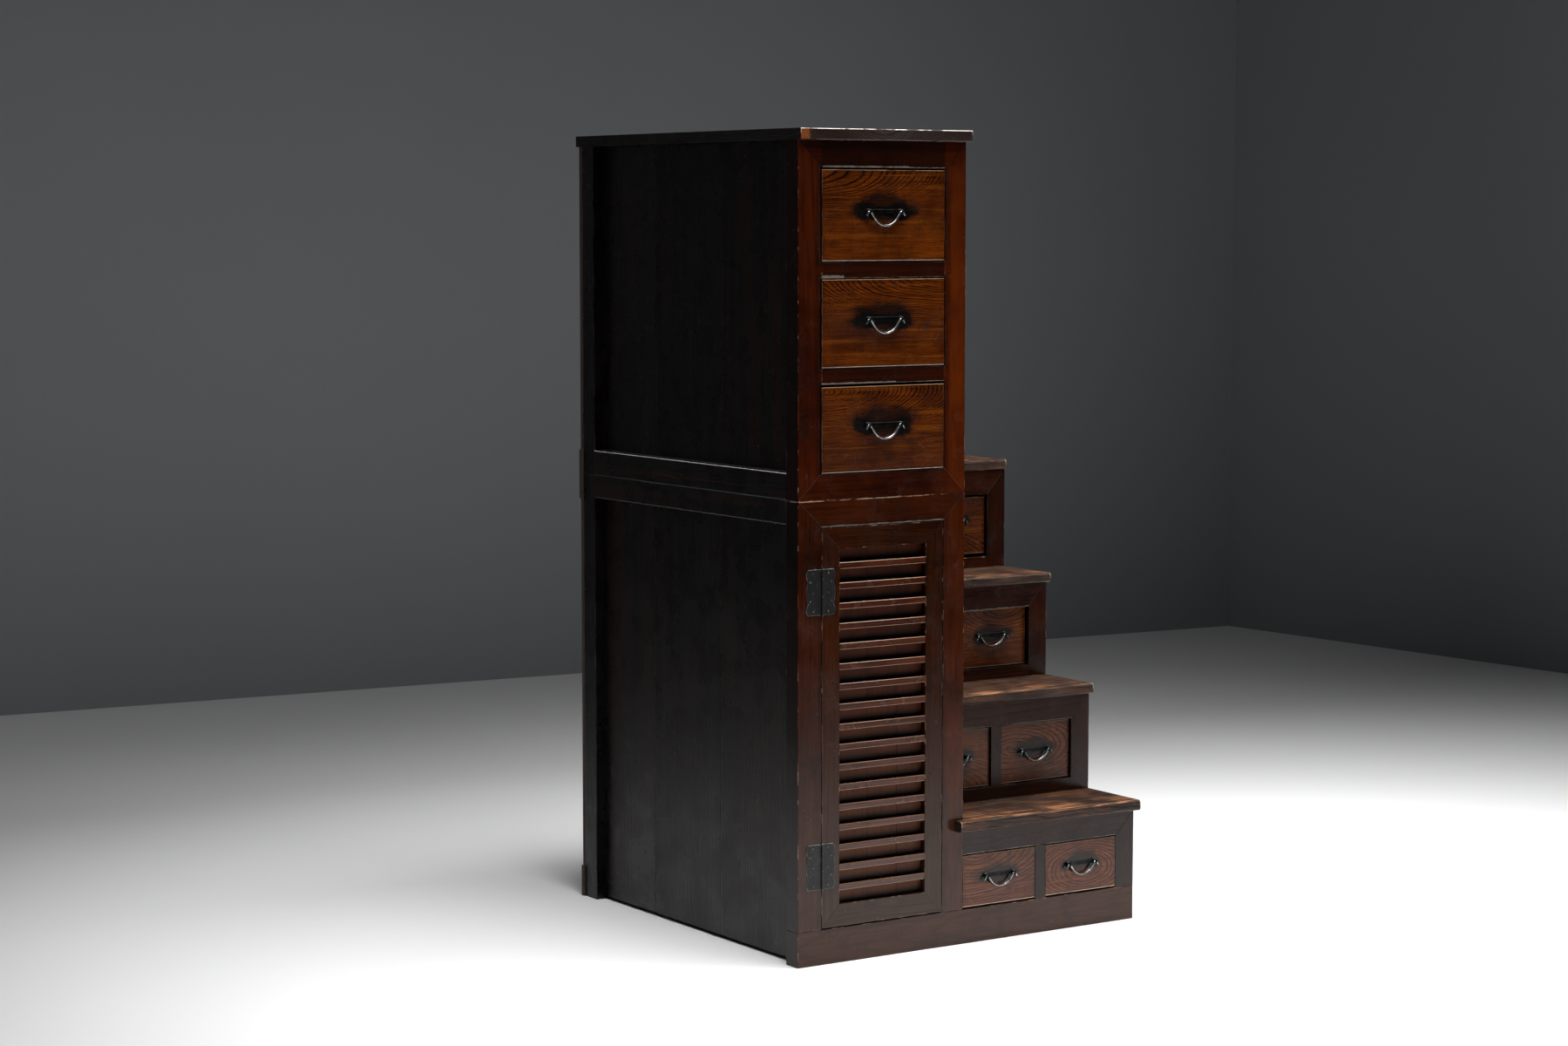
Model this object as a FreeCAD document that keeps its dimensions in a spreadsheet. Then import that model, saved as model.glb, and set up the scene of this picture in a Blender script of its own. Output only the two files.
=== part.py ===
import FreeCAD
import Part
import Sketcher
import math
import os
import re

# Driving sizes in millimetres. Places are counted from the left side, from the plane
# of the cupboard's front, and from the floor, and moved to the row's frame at the end.
SIZES = {
    # Outline of the two stacked chests
    "case_width": 908,
    "case_depth": 904,
    "tall_width": 430,
    "lower_height": 987,
    "upper_height": 749,
    "top_thickness": 24,
    "top_front_overhang": 10,
    "top_right_overhang": 11,
    "top_back_overhang": 14,
    "top_rounding": 3,
    # Frames, posts and boards
    "left_stile": 59,
    "tall_right_stile": 55,
    "front_frame_depth": 45,
    "side_frame_thick": 34,
    "rear_post_depth": 52,
    "plank_thick": 12,
    "plank_recess": 22,
    "plank_floor_gap": 8,
    "lower_seam_1": 337,
    "lower_seam_2": 613,
    "upper_seam_1": 329,
    "upper_seam_2": 604,
    "base_height": 76,
    "sill_width": 30,
    "floor_thick": 12,
    "cupboard_rail": 56,
    "lower_side_rail": 51,
    "upper_side_rail": 57,
    "partition_thick": 20,
    "shelf_thick": 14,
    "shelf_height": 500,
    "shelf_setback": 60,
    "rear_rail_thick": 12,
    "rear_rail_high": 57,
    "foot_rail_high": 72,
    "rear_rail_proud": 4,
    # Upper chest's front
    "upper_bottom_rail": 56,
    "upper_low_rail": 34,
    "upper_high_rail": 35,
    "upper_top_rail": 56.5,
    "bottom_opening": 186,
    "middle_opening": 187,
    "upper_drawer_back_gap": 92,
    "top_drawer_head_gap": 4.5,
    "middle_drawer_head_gap": 3,
    "bottom_drawer_head_gap": 6,
    # Steps, counted from the floor. A lift is how far a tread's top lies over an even share
    # of the lower chest's height.
    "step_frame_depth": 34,
    "step_right_stile": 51,
    "step_middle_stile": 28,
    "step_drawer_long": 370,
    "step_4_drawer_back_gap": 27,
    "front_2": 163,
    "front_3": 324,
    "front_4": 486,
    "tread_lift_1": 27.25,
    "tread_lift_2": 24.5,
    "tread_lift_3": 16.75,
    "tread_thick_1": 23.5,
    "tread_thick_2": 23,
    "tread_thick_3": 21.5,
    "tread_thick_4": 22.5,
    "nosing_1": 24.5,
    "nosing_2": 16.5,
    "nosing_3": 17,
    "nosing_4": 6.5,
    "nose_rounding": 6,
    "tread_lap": 21,
    "bottom_rail_2": 30,
    "bottom_rail_3": 27,
    "bottom_rail_4": 25,
    "top_rail_1": 54,
    "top_rail_2": 55,
    "top_rail_3": 55,
    "top_rail_4": 58,
    "setback_1": 0,
    "setback_2": 7,
    "setback_3": 12,
    "setback_4": 9,
    "foot_gap_1": 4.5,
    "foot_gap_2": 2,
    "foot_gap_3": 2,
    "foot_gap_4": 8.5,
    "head_gap_1": 3,
    "head_gap_2": 3,
    "head_gap_3": 2.5,
    "head_gap_4": 6,
    # Drawers
    "drawer_front_thick": 18,
    "drawer_lap": 8,
    "drawer_side_thick": 10,
    "drawer_back_thick": 10,
    "drawer_bottom_thick": 7,
    "drawer_side_drop": 3,
    "drawer_side_gap": 1.2,
    "drawer_run_gap": 0.6,
    "dust_board_thick": 10,
    "guide_high": 20,
    # Cupboard door
    "door_side_gap": 1.5,
    "door_foot_gap": 2.5,
    "door_head_gap": 2,
    "door_stile": 45,
    "door_top_rail": 45.5,
    "door_bottom_rail": 47.5,
    "door_frame_thick": 16,
    "bar_count": 17,
    "bar_high": 13.5,
    "bar_setback": 0.8,
    "bar_thick": 13,
    "bar_tenon": 7,
    "door_board_thick": 8,
    "door_board_lap": 22,
    "door_left_board": 104,
    "door_middle_board": 77,
    # Hinges
    "hinge_high": 97,
    "post_leaf_wide": 40,
    "door_leaf_wide": 34,
    "leaf_thick": 1.5,
    "lobe_depth": 5,
    "small_lobe": 24,
    "knuckle_radius": 2.5,
    "knuckle_sink": 1,
    "pin_radius": 1.2,
    "pin_clearance": 0.06,
    "pin_stand": 3,
    "leaf_gap": 0.3,
    "upper_knuckle_high": 20.5,
    "lower_knuckle_high": 37,
    "upper_hinge_drop": 86,
    "lower_hinge_rise": 84.5,
    "nail_radius": 2.1,
    "nail_high": 1,
    "nail_outer": 10.5,
    "nail_inner": 18,
    # Drawer handles
    "plate_thick": 1.6,
    "plate_high": 8.5,
    "plate_rise": 5,
    "plate_lobe": 6,
    "shank_wide": 4,
    "stud_collar": 4,
    "stud_collar_thick": 1.2,
    "stud_reach": 7,
    "stud_tail": 3,
    "eye_outer": 5.2,
    "eye_thick": 3,
    "eye_gap": 0.6,
    "bail_radius": 2.4,
    "bail_hump": 5,
    "bail_slope": 54,
    "bail_tail_slope": 60,
    "bail_tail_long": 7,
    "wide_handle_span": 83,
    "wide_handle_drop": 29,
    "narrow_handle_span": 74,
    "narrow_handle_drop": 24,
    "upper_handle_rise": 7.5,
    "handle_rise_1": 7,
    "handle_rise_2": 4,
    "handle_rise_3": 6.5,
    "handle_rise_4": 13,
}

doc = FreeCAD.newDocument("step_chest")
sheet = doc.addObject("Spreadsheet::Sheet", "sizes")
for row, (alias, number) in enumerate(SIZES.items(), start=1):
    sheet.set("A%d" % row, str(number))
    sheet.setAlias("A%d" % row, alias)
doc.recompute()

# Planes that several pieces share, each as a formula of the driving sizes
LEFT = "-case_width / 2"
FRONT = "-(case_depth + top_back_overhang - nosing_1) / 2"
BACK = "case_depth - rear_rail_thick"
POST_BACK = "case_depth - rear_rail_thick - rear_post_depth"
PLANK_INSIDE = "plank_recess + plank_thick"
TALL_OPENING_END = "tall_width - tall_right_stile"
PARTITION_FACE = "tall_width - partition_thick"
STEP_OPENING_END = "case_width - step_right_stile"
STEP_MIDDLE = "(tall_width + case_width - step_right_stile) / 2"
MIDDLE_STILE = (STEP_MIDDLE + " - step_middle_stile / 2", STEP_MIDDLE + " + step_middle_stile / 2")
STEP_PLANK_FACE = "case_width - plank_recess"
STEP_PLANK_INSIDE = "case_width - plank_recess - plank_thick"
CASE_TOP = "lower_height + upper_height"
BOTTOM_OPENING_FOOT = "lower_height + upper_bottom_rail"
BOTTOM_OPENING_HEAD = BOTTOM_OPENING_FOOT + " + bottom_opening"
MIDDLE_OPENING_FOOT = BOTTOM_OPENING_HEAD + " + upper_low_rail"
MIDDLE_OPENING_HEAD = MIDDLE_OPENING_FOOT + " + middle_opening"
TOP_OPENING_FOOT = MIDDLE_OPENING_HEAD + " + upper_high_rail"
TOP_OPENING_HEAD = "lower_height + upper_height - upper_top_rail"
STEP_FRONTS = ("0", "front_2", "front_3", "front_4", POST_BACK + " - step_frame_depth")
TREAD_HEADS = tuple("%d * lower_height / 4 + tread_lift_%d" % (count, count) for count in (1, 2, 3))
TREAD_FEET = tuple("%s - tread_thick_%d" % (head, count + 1)
                   for count, head in enumerate(TREAD_HEADS)) + ("lower_height",)
STOREY_FEET = ("base_height",) + TREAD_HEADS
OPENING_FEET = ("base_height",) + tuple("%s + bottom_rail_%d" % (STOREY_FEET[count], count + 1)
                                       for count in (1, 2, 3))
DRAWER_FEET = tuple("%s + foot_gap_%d" % (foot, count + 1) for count, foot in enumerate(OPENING_FEET))
RUN_TOPS = tuple("%s - drawer_run_gap" % foot for foot in DRAWER_FEET)


def formula(text):
    """Write each size named in a text as a reference to the sheet."""
    def refer(word):
        return "sizes." + word.group(0) if word.group(0) in SIZES else word.group(0)
    return re.sub(r"[a-z]\w*", refer, text)


def value(text):
    """Work out a formula as a number."""
    return float(sheet.evalExpression(formula(text)))


def less(high, low):
    """The distance from one place to another, as a formula."""
    return "(%s) - (%s)" % (high, low)


def bind(item, **texts):
    """Tie properties of an object to formulas of the sheet."""
    for name, text in texts.items():
        item.setExpression(name, formula(text))
    return item


def seat(item, x, y, z):
    """Tie an object's place to formulas counted from the left, the front and the floor."""
    item.setExpression("Placement.Base.x", formula("%s + %s" % (LEFT, x)))
    item.setExpression("Placement.Base.y", formula("%s + %s" % (FRONT, y)))
    item.setExpression("Placement.Base.z", formula(z))
    return item


def board(name, x, y, z):
    """A square-edged board between two planes each way."""
    item = doc.addObject("Part::Box", name)
    bind(item, Length=less(x[1], x[0]), Width=less(y[1], y[0]), Height=less(z[1], z[0]))
    return seat(item, x[0], y[0], z[0])


def mitred_stile(name, x, y, left_z, right_z):
    """An upright whose ends are cut on the slope: its left and right edges differ in length."""
    item = doc.addObject("Part::Wedge", name)
    item.Placement.Rotation = FreeCAD.Rotation(FreeCAD.Vector(1, 1, 1), 240)
    deep = less(y[1], y[0])
    bind(item, Ymin="0", Ymax=less(x[1], x[0]), Zmin="0", Zmax=deep, Z2min="0", Z2max=deep)
    bind(item, Xmin=left_z[0], Xmax=left_z[1], X2min=right_z[0], X2max=right_z[1])
    return seat(item, x[0], y[0], "0")


def mitred_rail(name, z, y, low_x, high_x):
    """A rail whose ends are cut on the slope: its lower and upper edges differ in length."""
    item = doc.addObject("Part::Wedge", name)
    item.Placement.Rotation = FreeCAD.Rotation(FreeCAD.Vector(1, 1, 1), 120)
    deep = less(y[1], y[0])
    bind(item, Ymin="0", Ymax=less(z[1], z[0]), Xmin="0", Xmax=deep, X2min="0", X2max=deep)
    bind(item, Zmin=low_x[0], Zmax=low_x[1], Z2min=high_x[0], Z2max=high_x[1])
    return seat(item, "0", y[0], z[0])


TURNS = {
    "x": FreeCAD.Rotation(FreeCAD.Vector(0, 1, 0), 90),
    "y": FreeCAD.Rotation(FreeCAD.Vector(1, 0, 0), -90),
    "z": FreeCAD.Rotation(),
}


def rod(name, along, start, long, radius):
    """A round bar along one axis, from the middle of its first end."""
    item = doc.addObject("Part::Cylinder", name)
    item.Placement.Rotation = TURNS[along]
    bind(item, Radius=radius, Height=long)
    return seat(item, *start)


def faceted(name, along, start, long, radius, sides):
    """A forged bar with flat facets along one axis, from the middle of its first end."""
    item = doc.addObject("Part::Prism", name)
    item.Placement.Rotation = TURNS[along]
    item.Polygon = sides
    bind(item, Circumradius=radius, Height=long)
    return seat(item, *start)


def shank(name, x, y, z):
    """A square bar through the drawer front, centred on a stud."""
    return board(name, ("(%s) - shank_wide / 2" % x, "(%s) + shank_wide / 2" % x), y,
                 ("(%s) - shank_wide / 2" % z, "(%s) + shank_wide / 2" % z))


def fused(name, pieces):
    item = doc.addObject("Part::MultiFuse", name)
    item.Shapes = pieces
    item.Refine = True
    return item


def cut(name, base, tool):
    item = doc.addObject("Part::Cut", name)
    item.Base = base
    item.Tool = tool
    item.Refine = True
    return item


def group(name, pieces):
    item = doc.addObject("Part::Compound", name)
    item.Links = pieces
    return item


NODES = {}


def node(label, pieces):
    """Name a sub-part made of one or more separate solids."""
    item = group(label, pieces)
    item.Label = label
    NODES[label] = item
    return item


def base_plane(body, role):
    return next(feature for feature in body.Origin.OriginFeatures if feature.Role == role)


def outline_sketch(body, name, corners):
    """A closed outline on the body's ground plane, each corner tied to formulas."""
    sketch = body.newObject("Sketcher::SketchObject", name)
    sketch.AttachmentSupport = [(base_plane(body, "XY_Plane"), "")]
    sketch.MapMode = "FlatFace"
    points = [FreeCAD.Vector(value(x), value(y), 0) for x, y in corners]
    for index, point in enumerate(points):
        sketch.addGeometry(Part.LineSegment(point, points[(index + 1) % len(points)]))
    for index in range(len(points)):
        following = (index + 1) % len(points)
        sketch.addConstraint(Sketcher.Constraint("Coincident", index, 2, following, 1))
    for index, (x, y) in enumerate(corners):
        for kind, text, axis in (("DistanceX", x, -2), ("DistanceY", y, -1)):
            if text == "0":
                sketch.addConstraint(Sketcher.Constraint("PointOnObject", index, 1, axis))
            else:
                number = sketch.addConstraint(Sketcher.Constraint(kind, -1, 1, index, 1, value(text)))
                sketch.setExpression("Constraints[%d]" % number, formula(text))
    return sketch


def lies_along(edge, axis, other, place):
    """Whether an edge runs along one axis with its other coordinate at a place."""
    first, last = edge.Vertexes[0].Point, edge.Vertexes[-1].Point
    steady = [index for index in range(3) if index != axis]
    straight = all(abs(first[index] - last[index]) < 0.001 for index in steady)
    return straight and abs(first[other] - place) < 0.001


def rounded_board(name, corners, thick, rounding, x, y, z):
    """A board cut to an outline, with its front edges rounded over."""
    body = doc.addObject("PartDesign::Body", name)
    pad = body.newObject("PartDesign::Pad", name + "_pad")
    pad.Profile = outline_sketch(body, name + "_plan", corners)
    pad.setExpression("Length", formula(thick))
    doc.recompute()
    front_edges = ["Edge%d" % number for number, edge in enumerate(pad.Shape.Edges, start=1)
                   if lies_along(edge, 0, 1, 0)]
    nose = body.newObject("PartDesign::Fillet", name + "_nose")
    nose.Base = (pad, front_edges)
    nose.setExpression("Radius", formula(rounding))
    body.Tip = nose
    return seat(body, x, y, z)


def build_base():
    """Sills on the floor, with the floor boards on the inner ones."""
    floor_foot = "base_height - floor_thick"
    deep = ("front_frame_depth", BACK)
    middle = less(PARTITION_FACE, "0")
    node("base_sills", [
        board("front_sill", ("0", "case_width"), ("0", "front_frame_depth"), ("0", "base_height")),
        board("left_sill", (PLANK_INSIDE, PLANK_INSIDE + " + sill_width"), deep, ("0", floor_foot)),
        board("middle_sill", (middle, middle + " + sill_width"), deep, ("0", floor_foot)),
        board("right_sill", (STEP_PLANK_INSIDE + " - sill_width", STEP_PLANK_INSIDE), deep,
              ("0", floor_foot)),
    ])
    node("floor_boards", [
        board("cupboard_floor", (PLANK_INSIDE, "tall_width"), deep, (floor_foot, "base_height")),
        board("step_floor", ("tall_width", STEP_PLANK_INSIDE), deep, (floor_foot, RUN_TOPS[0])),
    ])


def build_cupboard():
    """Front frame, left side, shelves and the wall beside the steps."""
    deep = ("0", "front_frame_depth")
    head = "lower_height - cupboard_rail"
    node("cupboard_front_frame", [
        mitred_stile("cupboard_left_stile", ("0", "left_stile"), deep,
                     ("base_height", "lower_height"), ("base_height", head)),
        mitred_stile("cupboard_right_stile", (TALL_OPENING_END, "tall_width"), deep,
                     ("base_height", head), ("base_height", "lower_height")),
        mitred_rail("cupboard_top_rail", (head, "lower_height"), deep,
                    ("left_stile", TALL_OPENING_END), ("0", "tall_width")),
    ])
    posts = (POST_BACK, BACK)
    between = ("front_frame_depth", POST_BACK)
    node("lower_side_frames", [
        board("lower_left_post", ("0", "side_frame_thick"), posts, ("0", "lower_height")),
        board("lower_left_rail", ("0", "side_frame_thick"), between,
              ("lower_height - lower_side_rail", "lower_height")),
        board("lower_right_post", (STEP_PLANK_INSIDE, "case_width"), posts, ("0", "lower_height")),
    ])
    node("lower_left_planks", planks("lower_left_plank", ("plank_recess", PLANK_INSIDE),
                                     ("lower_seam_1", "lower_seam_2"),
                                     ("plank_floor_gap", "lower_height - lower_side_rail")))
    third = "((%s) - front_frame_depth) / 3" % BACK
    node("partition_boards", [
        board("partition_board_%d" % (index + 1), (PARTITION_FACE, "tall_width"),
              ("front_frame_depth + %d * %s" % (index, third),
               "front_frame_depth + %d * %s" % (index + 1, third)),
              ("base_height", "lower_height"))
        for index in range(3)
    ])
    node("cupboard_shelves", [
        board("cupboard_shelf", (PLANK_INSIDE, PARTITION_FACE), ("shelf_setback", BACK),
              ("shelf_height", "shelf_height + shelf_thick")),
        board("cupboard_ceiling", (PLANK_INSIDE, PARTITION_FACE), ("front_frame_depth", BACK),
              ("lower_height - shelf_thick", "lower_height")),
    ])


def planks(name, x, seams, z):
    """Three upright planks side by side between the front post and the rear post."""
    edges = ("front_frame_depth",) + seams + (POST_BACK,)
    return [
        board("%s_%d" % (name, index + 1), x, (edges[index], edges[index + 1]), z)
        for index in range(3)
    ]


def build_back():
    """Back boards between rear rails, whose ends stand out at the sides."""
    back = (BACK, "case_depth")
    out = ("-rear_rail_proud", "case_width + rear_rail_proud")
    lower_rail = "lower_height - rear_rail_high"
    upper_rail = "lower_height + rear_rail_high"
    head_rail = CASE_TOP + " - rear_rail_high"
    node("rear_rails", [
        board("rear_foot_rail", out, back, ("0", "foot_rail_high")),
        board("lower_rear_rail", out, back, (lower_rail, "lower_height")),
        board("upper_rear_rail", ("-rear_rail_proud", "tall_width"), back, ("lower_height", upper_rail)),
        board("head_rear_rail", ("0", "tall_width"), back, (head_rail, CASE_TOP)),
    ])
    lower = ("foot_rail_high", lower_rail)
    quarter = "case_width / 4"
    half = "tall_width / 2"
    node("back_boards", [
        board("lower_back_board_%d" % (index + 1),
              ("%d * %s" % (index, quarter), "%d * %s" % (index + 1, quarter)), back, lower)
        for index in range(4)
    ] + [
        board("upper_back_board_%d" % (index + 1),
              ("%d * %s" % (index, half), "%d * %s" % (index + 1, half)), back, (upper_rail, head_rail))
        for index in range(2)
    ])


def build_step_frame(number):
    """The front frame of one step: rails, middle stile and mitred right stile."""
    front = STEP_FRONTS[number - 1]
    deep = (front, front + " + step_frame_depth")
    foot = STOREY_FEET[number - 1]
    head = TREAD_FEET[number - 1]
    rail_foot = "%s - top_rail_%d" % (head, number)
    sill = OPENING_FEET[number - 1]
    pieces = [
        mitred_rail("step_%d_top_rail" % number, (rail_foot, head), deep,
                    ("tall_width", STEP_OPENING_END), ("tall_width", "case_width")),
        mitred_stile("step_%d_right_stile" % number, (STEP_OPENING_END, "case_width"), deep,
                     (foot, rail_foot), (foot, head)),
        board("step_%d_middle_stile" % number,
              MIDDLE_STILE, deep, (sill, rail_foot)),
    ]
    if number > 1:
        pieces.append(board("step_%d_bottom_rail" % number, ("tall_width", STEP_OPENING_END), deep,
                            (foot, sill)))
    node("step_frame_%d" % number, pieces)


def build_tread(number):
    """A tread whose rounded nose stands out over its step and which runs under the next one."""
    front = STEP_FRONTS[number - 1]
    nose = "nosing_%d" % number
    end = BACK if number == 4 else STEP_FRONTS[number] + " + step_frame_depth"
    thick = "tread_thick_%d" % number
    start = "(%s) - %s" % (front, nose)
    long = less(end, start)
    if number == 1:
        wide = "case_width - tall_width + tread_lap"
        corners = (("0", "0"), (wide, "0"), (wide, long),
                   ("tread_lap", long), ("tread_lap", nose), ("0", nose))
        left = "tall_width - tread_lap"
    else:
        wide = "case_width - tall_width"
        corners = (("0", "0"), (wide, "0"), (wide, long), ("0", long))
        left = "tall_width"
    body = rounded_board("tread_%d_board" % number, corners, thick, "nose_rounding",
                         left, start, TREAD_FEET[number - 1])
    node("tread_%d" % number, [body])


def build_step_side():
    """Upright planks of stepped height that close the right side."""
    pieces = []
    for number in range(1, 5):
        start = STEP_FRONTS[number - 1] + " + step_frame_depth"
        if number == 1:
            start = "front_frame_depth"
        end = STEP_FRONTS[number] + " + step_frame_depth"
        pieces.append(board("step_side_plank_%d" % number, (STEP_PLANK_INSIDE, STEP_PLANK_FACE),
                            (start, end), ("plank_floor_gap", TREAD_FEET[number - 1])))
    node("step_side_planks", pieces)


def build_runners():
    """Dust boards under the drawers, and the guides that keep the drawers straight."""
    upper_foot = {
        "bottom": BOTTOM_OPENING_FOOT,
        "middle": MIDDLE_OPENING_FOOT,
        "top": TOP_OPENING_FOOT,
    }
    deep = ("front_frame_depth", BACK)
    guide_deep = ("front_frame_depth", POST_BACK)
    right_face = "tall_width - plank_recess - plank_thick"
    pieces = []
    for name, foot in upper_foot.items():
        guide_z = (foot, foot + " + guide_high")
        pieces.append(board("upper_dust_board_" + name, (PLANK_INSIDE, right_face), deep,
                            (foot + " - dust_board_thick", foot)))
        pieces.append(board("upper_left_guide_" + name, (PLANK_INSIDE, "left_stile"), guide_deep, guide_z))
        pieces.append(board("upper_right_guide_" + name, (TALL_OPENING_END, right_face), guide_deep,
                            guide_z))
    for number in range(1, 5):
        start = STEP_FRONTS[number - 1] + " + step_frame_depth"
        if number == 1:
            start = "front_frame_depth"
        foot = RUN_TOPS[number - 1]
        guide_z = (foot, foot + " + guide_high")
        if number > 1:
            pieces.append(board("step_dust_board_%d" % number, ("tall_width", STEP_PLANK_INSIDE),
                                (start, BACK), (foot + " - dust_board_thick", foot)))
        pieces.append(board("step_middle_guide_%d" % number, MIDDLE_STILE, (start, BACK), guide_z))
        pieces.append(board("step_right_guide_%d" % number, (STEP_OPENING_END, STEP_PLANK_INSIDE),
                            (start, POST_BACK), guide_z))
    node("drawer_runners", pieces)


def build_upper_chest():
    """The upper chest's mitred front frame, framed sides and top board."""
    deep = ("0", "front_frame_depth")
    full = ("lower_height", CASE_TOP)
    open_part = (BOTTOM_OPENING_FOOT, TOP_OPENING_HEAD)
    opening = ("left_stile", TALL_OPENING_END)
    node("upper_front_frame", [
        mitred_stile("upper_left_stile", ("0", "left_stile"), deep, full, open_part),
        mitred_stile("upper_right_stile", (TALL_OPENING_END, "tall_width"), deep, open_part, full),
        mitred_rail("upper_foot_rail", ("lower_height", BOTTOM_OPENING_FOOT), deep,
                    ("0", "tall_width"), opening),
        mitred_rail("upper_head_rail", (TOP_OPENING_HEAD, CASE_TOP), deep,
                    opening, ("0", "tall_width")),
        board("upper_low_rail_board", opening, deep, (BOTTOM_OPENING_HEAD, MIDDLE_OPENING_FOOT)),
        board("upper_high_rail_board", opening, deep, (MIDDLE_OPENING_HEAD, TOP_OPENING_FOOT)),
    ])
    posts = (POST_BACK, BACK)
    between = ("front_frame_depth", POST_BACK)
    foot_rail = ("lower_height", "lower_height + upper_side_rail")
    right_wall = ("tall_width - side_frame_thick", "tall_width")
    plank_z = (foot_rail[1], CASE_TOP)
    seams = ("upper_seam_1", "upper_seam_2")
    node("upper_side_walls", [
        board("upper_left_post", ("0", "side_frame_thick"), posts, full),
        board("upper_left_rail", ("0", "side_frame_thick"), between, foot_rail),
        board("upper_right_post", right_wall, posts, full),
        board("upper_right_rail", right_wall, between, foot_rail),
    ] + planks("upper_left_plank", ("plank_recess", PLANK_INSIDE), seams, plank_z)
      + planks("upper_right_plank", ("tall_width - plank_recess - plank_thick", "tall_width - plank_recess"),
               seams, plank_z))
    wide = "tall_width + top_right_overhang"
    long = "top_front_overhang + case_depth + top_back_overhang"
    node("top_board", [rounded_board("top_plank", (("0", "0"), (wide, "0"), (wide, long), ("0", long)),
                                     "top_thickness", "top_rounding", "0", "-top_front_overhang", CASE_TOP)])


LOBE_SIDES = 10
EYE_SIDES = 8
BAIL_SIDES = 6
HUMP_CHORDS = 4
ARC_CHORDS = 10
RIGHT_CORNERS = 1
EYE_HOLE = "(bail_radius + eye_gap) / cos(180 / %d)" % EYE_SIDES
HANDLES = {
    "wide": ("wide_handle_span", "wide_handle_drop"),
    "narrow": ("narrow_handle_span", "narrow_handle_drop"),
}


def bail_shape(span, drop):
    """A forged rod bent through both eyes: turned-out tail, hump, straight, and a wide arc."""
    half = value(span) / 2
    drop = value(drop)
    hump = value("bail_hump")
    slope = math.radians(value("bail_slope"))
    tail_slope = math.radians(value("bail_tail_slope"))
    tail = value("bail_tail_long")
    radius = (half * math.sin(slope) - drop * math.cos(slope)) / (1 - math.cos(slope)) - hump
    middle_z = radius - drop

    def at(x, z):
        return FreeCAD.Vector(x, 0, z)

    def on_hump(angle):
        return at(-half + hump * math.sin(angle), -hump + hump * math.cos(angle))

    def on_arc(angle):
        return at(radius * math.sin(angle), middle_z - radius * math.cos(angle))

    tail_foot = on_hump(-tail_slope)
    tip = at(tail_foot.x - tail * math.cos(tail_slope), tail_foot.z - tail * math.sin(tail_slope))
    bends = [on_hump(slope * step / HUMP_CHORDS - tail_slope * (1 - step / HUMP_CHORDS))
             for step in range(HUMP_CHORDS + 1)]
    sweep = [on_arc(slope * (2 * step / ARC_CHORDS - 1)) for step in range(ARC_CHORDS + 1)]
    left = [tip] + bends
    right = [at(-point.x, point.z) for point in reversed(left)]
    path = Part.makePolygon(left + sweep + right)
    along = (tail_foot - tip).normalize()
    across = FreeCAD.Vector(0, 1, 0)
    corners = []
    for index in range(BAIL_SIDES):
        turn = 2 * math.pi * (index + 0.5) / BAIL_SIDES
        outward = across * math.cos(turn) + along.cross(across) * math.sin(turn)
        corners.append(tip + outward * value("bail_radius"))
    section = Part.makePolygon(corners + corners[:1])
    return path.makePipeShell([section], True, True, RIGHT_CORNERS)


def build_handle(drawer, middle_x, front, stud_z, kind):
    """Back plate and eyed studs that stay on the drawer, and the bail that swings in the eyes."""
    span, drop = HANDLES[kind]
    name = "handle_" + drawer
    studs = ("(%s) - %s / 2" % (middle_x, span), "(%s) + %s / 2" % (middle_x, span))
    plate_y = "(%s) - plate_thick" % front
    axis_y = "(%s) - stud_reach" % front
    plate = fused(name + "_plate_outline", [
        board(name + "_strip", studs, (plate_y, front),
              ("%s + plate_rise - plate_high" % stud_z, "%s + plate_rise" % stud_z)),
    ] + [
        faceted("%s_lobe_%d" % (name, index), "y", (x, plate_y, stud_z),
                "plate_thick", "plate_lobe", LOBE_SIDES)
        for index, x in enumerate(studs)
    ])
    holes = group(name + "_plate_holes", [
        shank("%s_plate_hole_%d" % (name, index), x, (plate_y, front), stud_z)
        for index, x in enumerate(studs)
    ])
    pieces = [cut(name + "_plate", plate, holes)]
    for index, x in enumerate(studs):
        stem = "%s_stud_%d" % (name, index)
        solid = fused(stem + "_solid", [
            shank(stem + "_shank", x,
                  (plate_y + " - stud_collar_thick", front + " + drawer_front_thick + stud_tail"), stud_z),
            faceted(stem + "_collar", "y", (x, plate_y + " - stud_collar_thick", stud_z),
                    "stud_collar_thick", "stud_collar", EYE_SIDES),
            faceted(stem + "_eye", "x", ("%s - eye_thick / 2" % x, axis_y, stud_z),
                    "eye_thick", "eye_outer", EYE_SIDES),
        ])
        hole = faceted(stem + "_hole", "x", ("%s - eye_thick / 2" % x, axis_y, stud_z), "eye_thick",
                       EYE_HOLE, EYE_SIDES)
        pieces.append(cut(stem, solid, hole))
    node(name, pieces)
    bail = doc.addObject("Part::Feature", "bail_rod_" + drawer)
    bail.Shape = bail_shape(span, drop)
    seat(bail, middle_x, axis_y, stud_z)
    node("bail_" + drawer, [bail])


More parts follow.
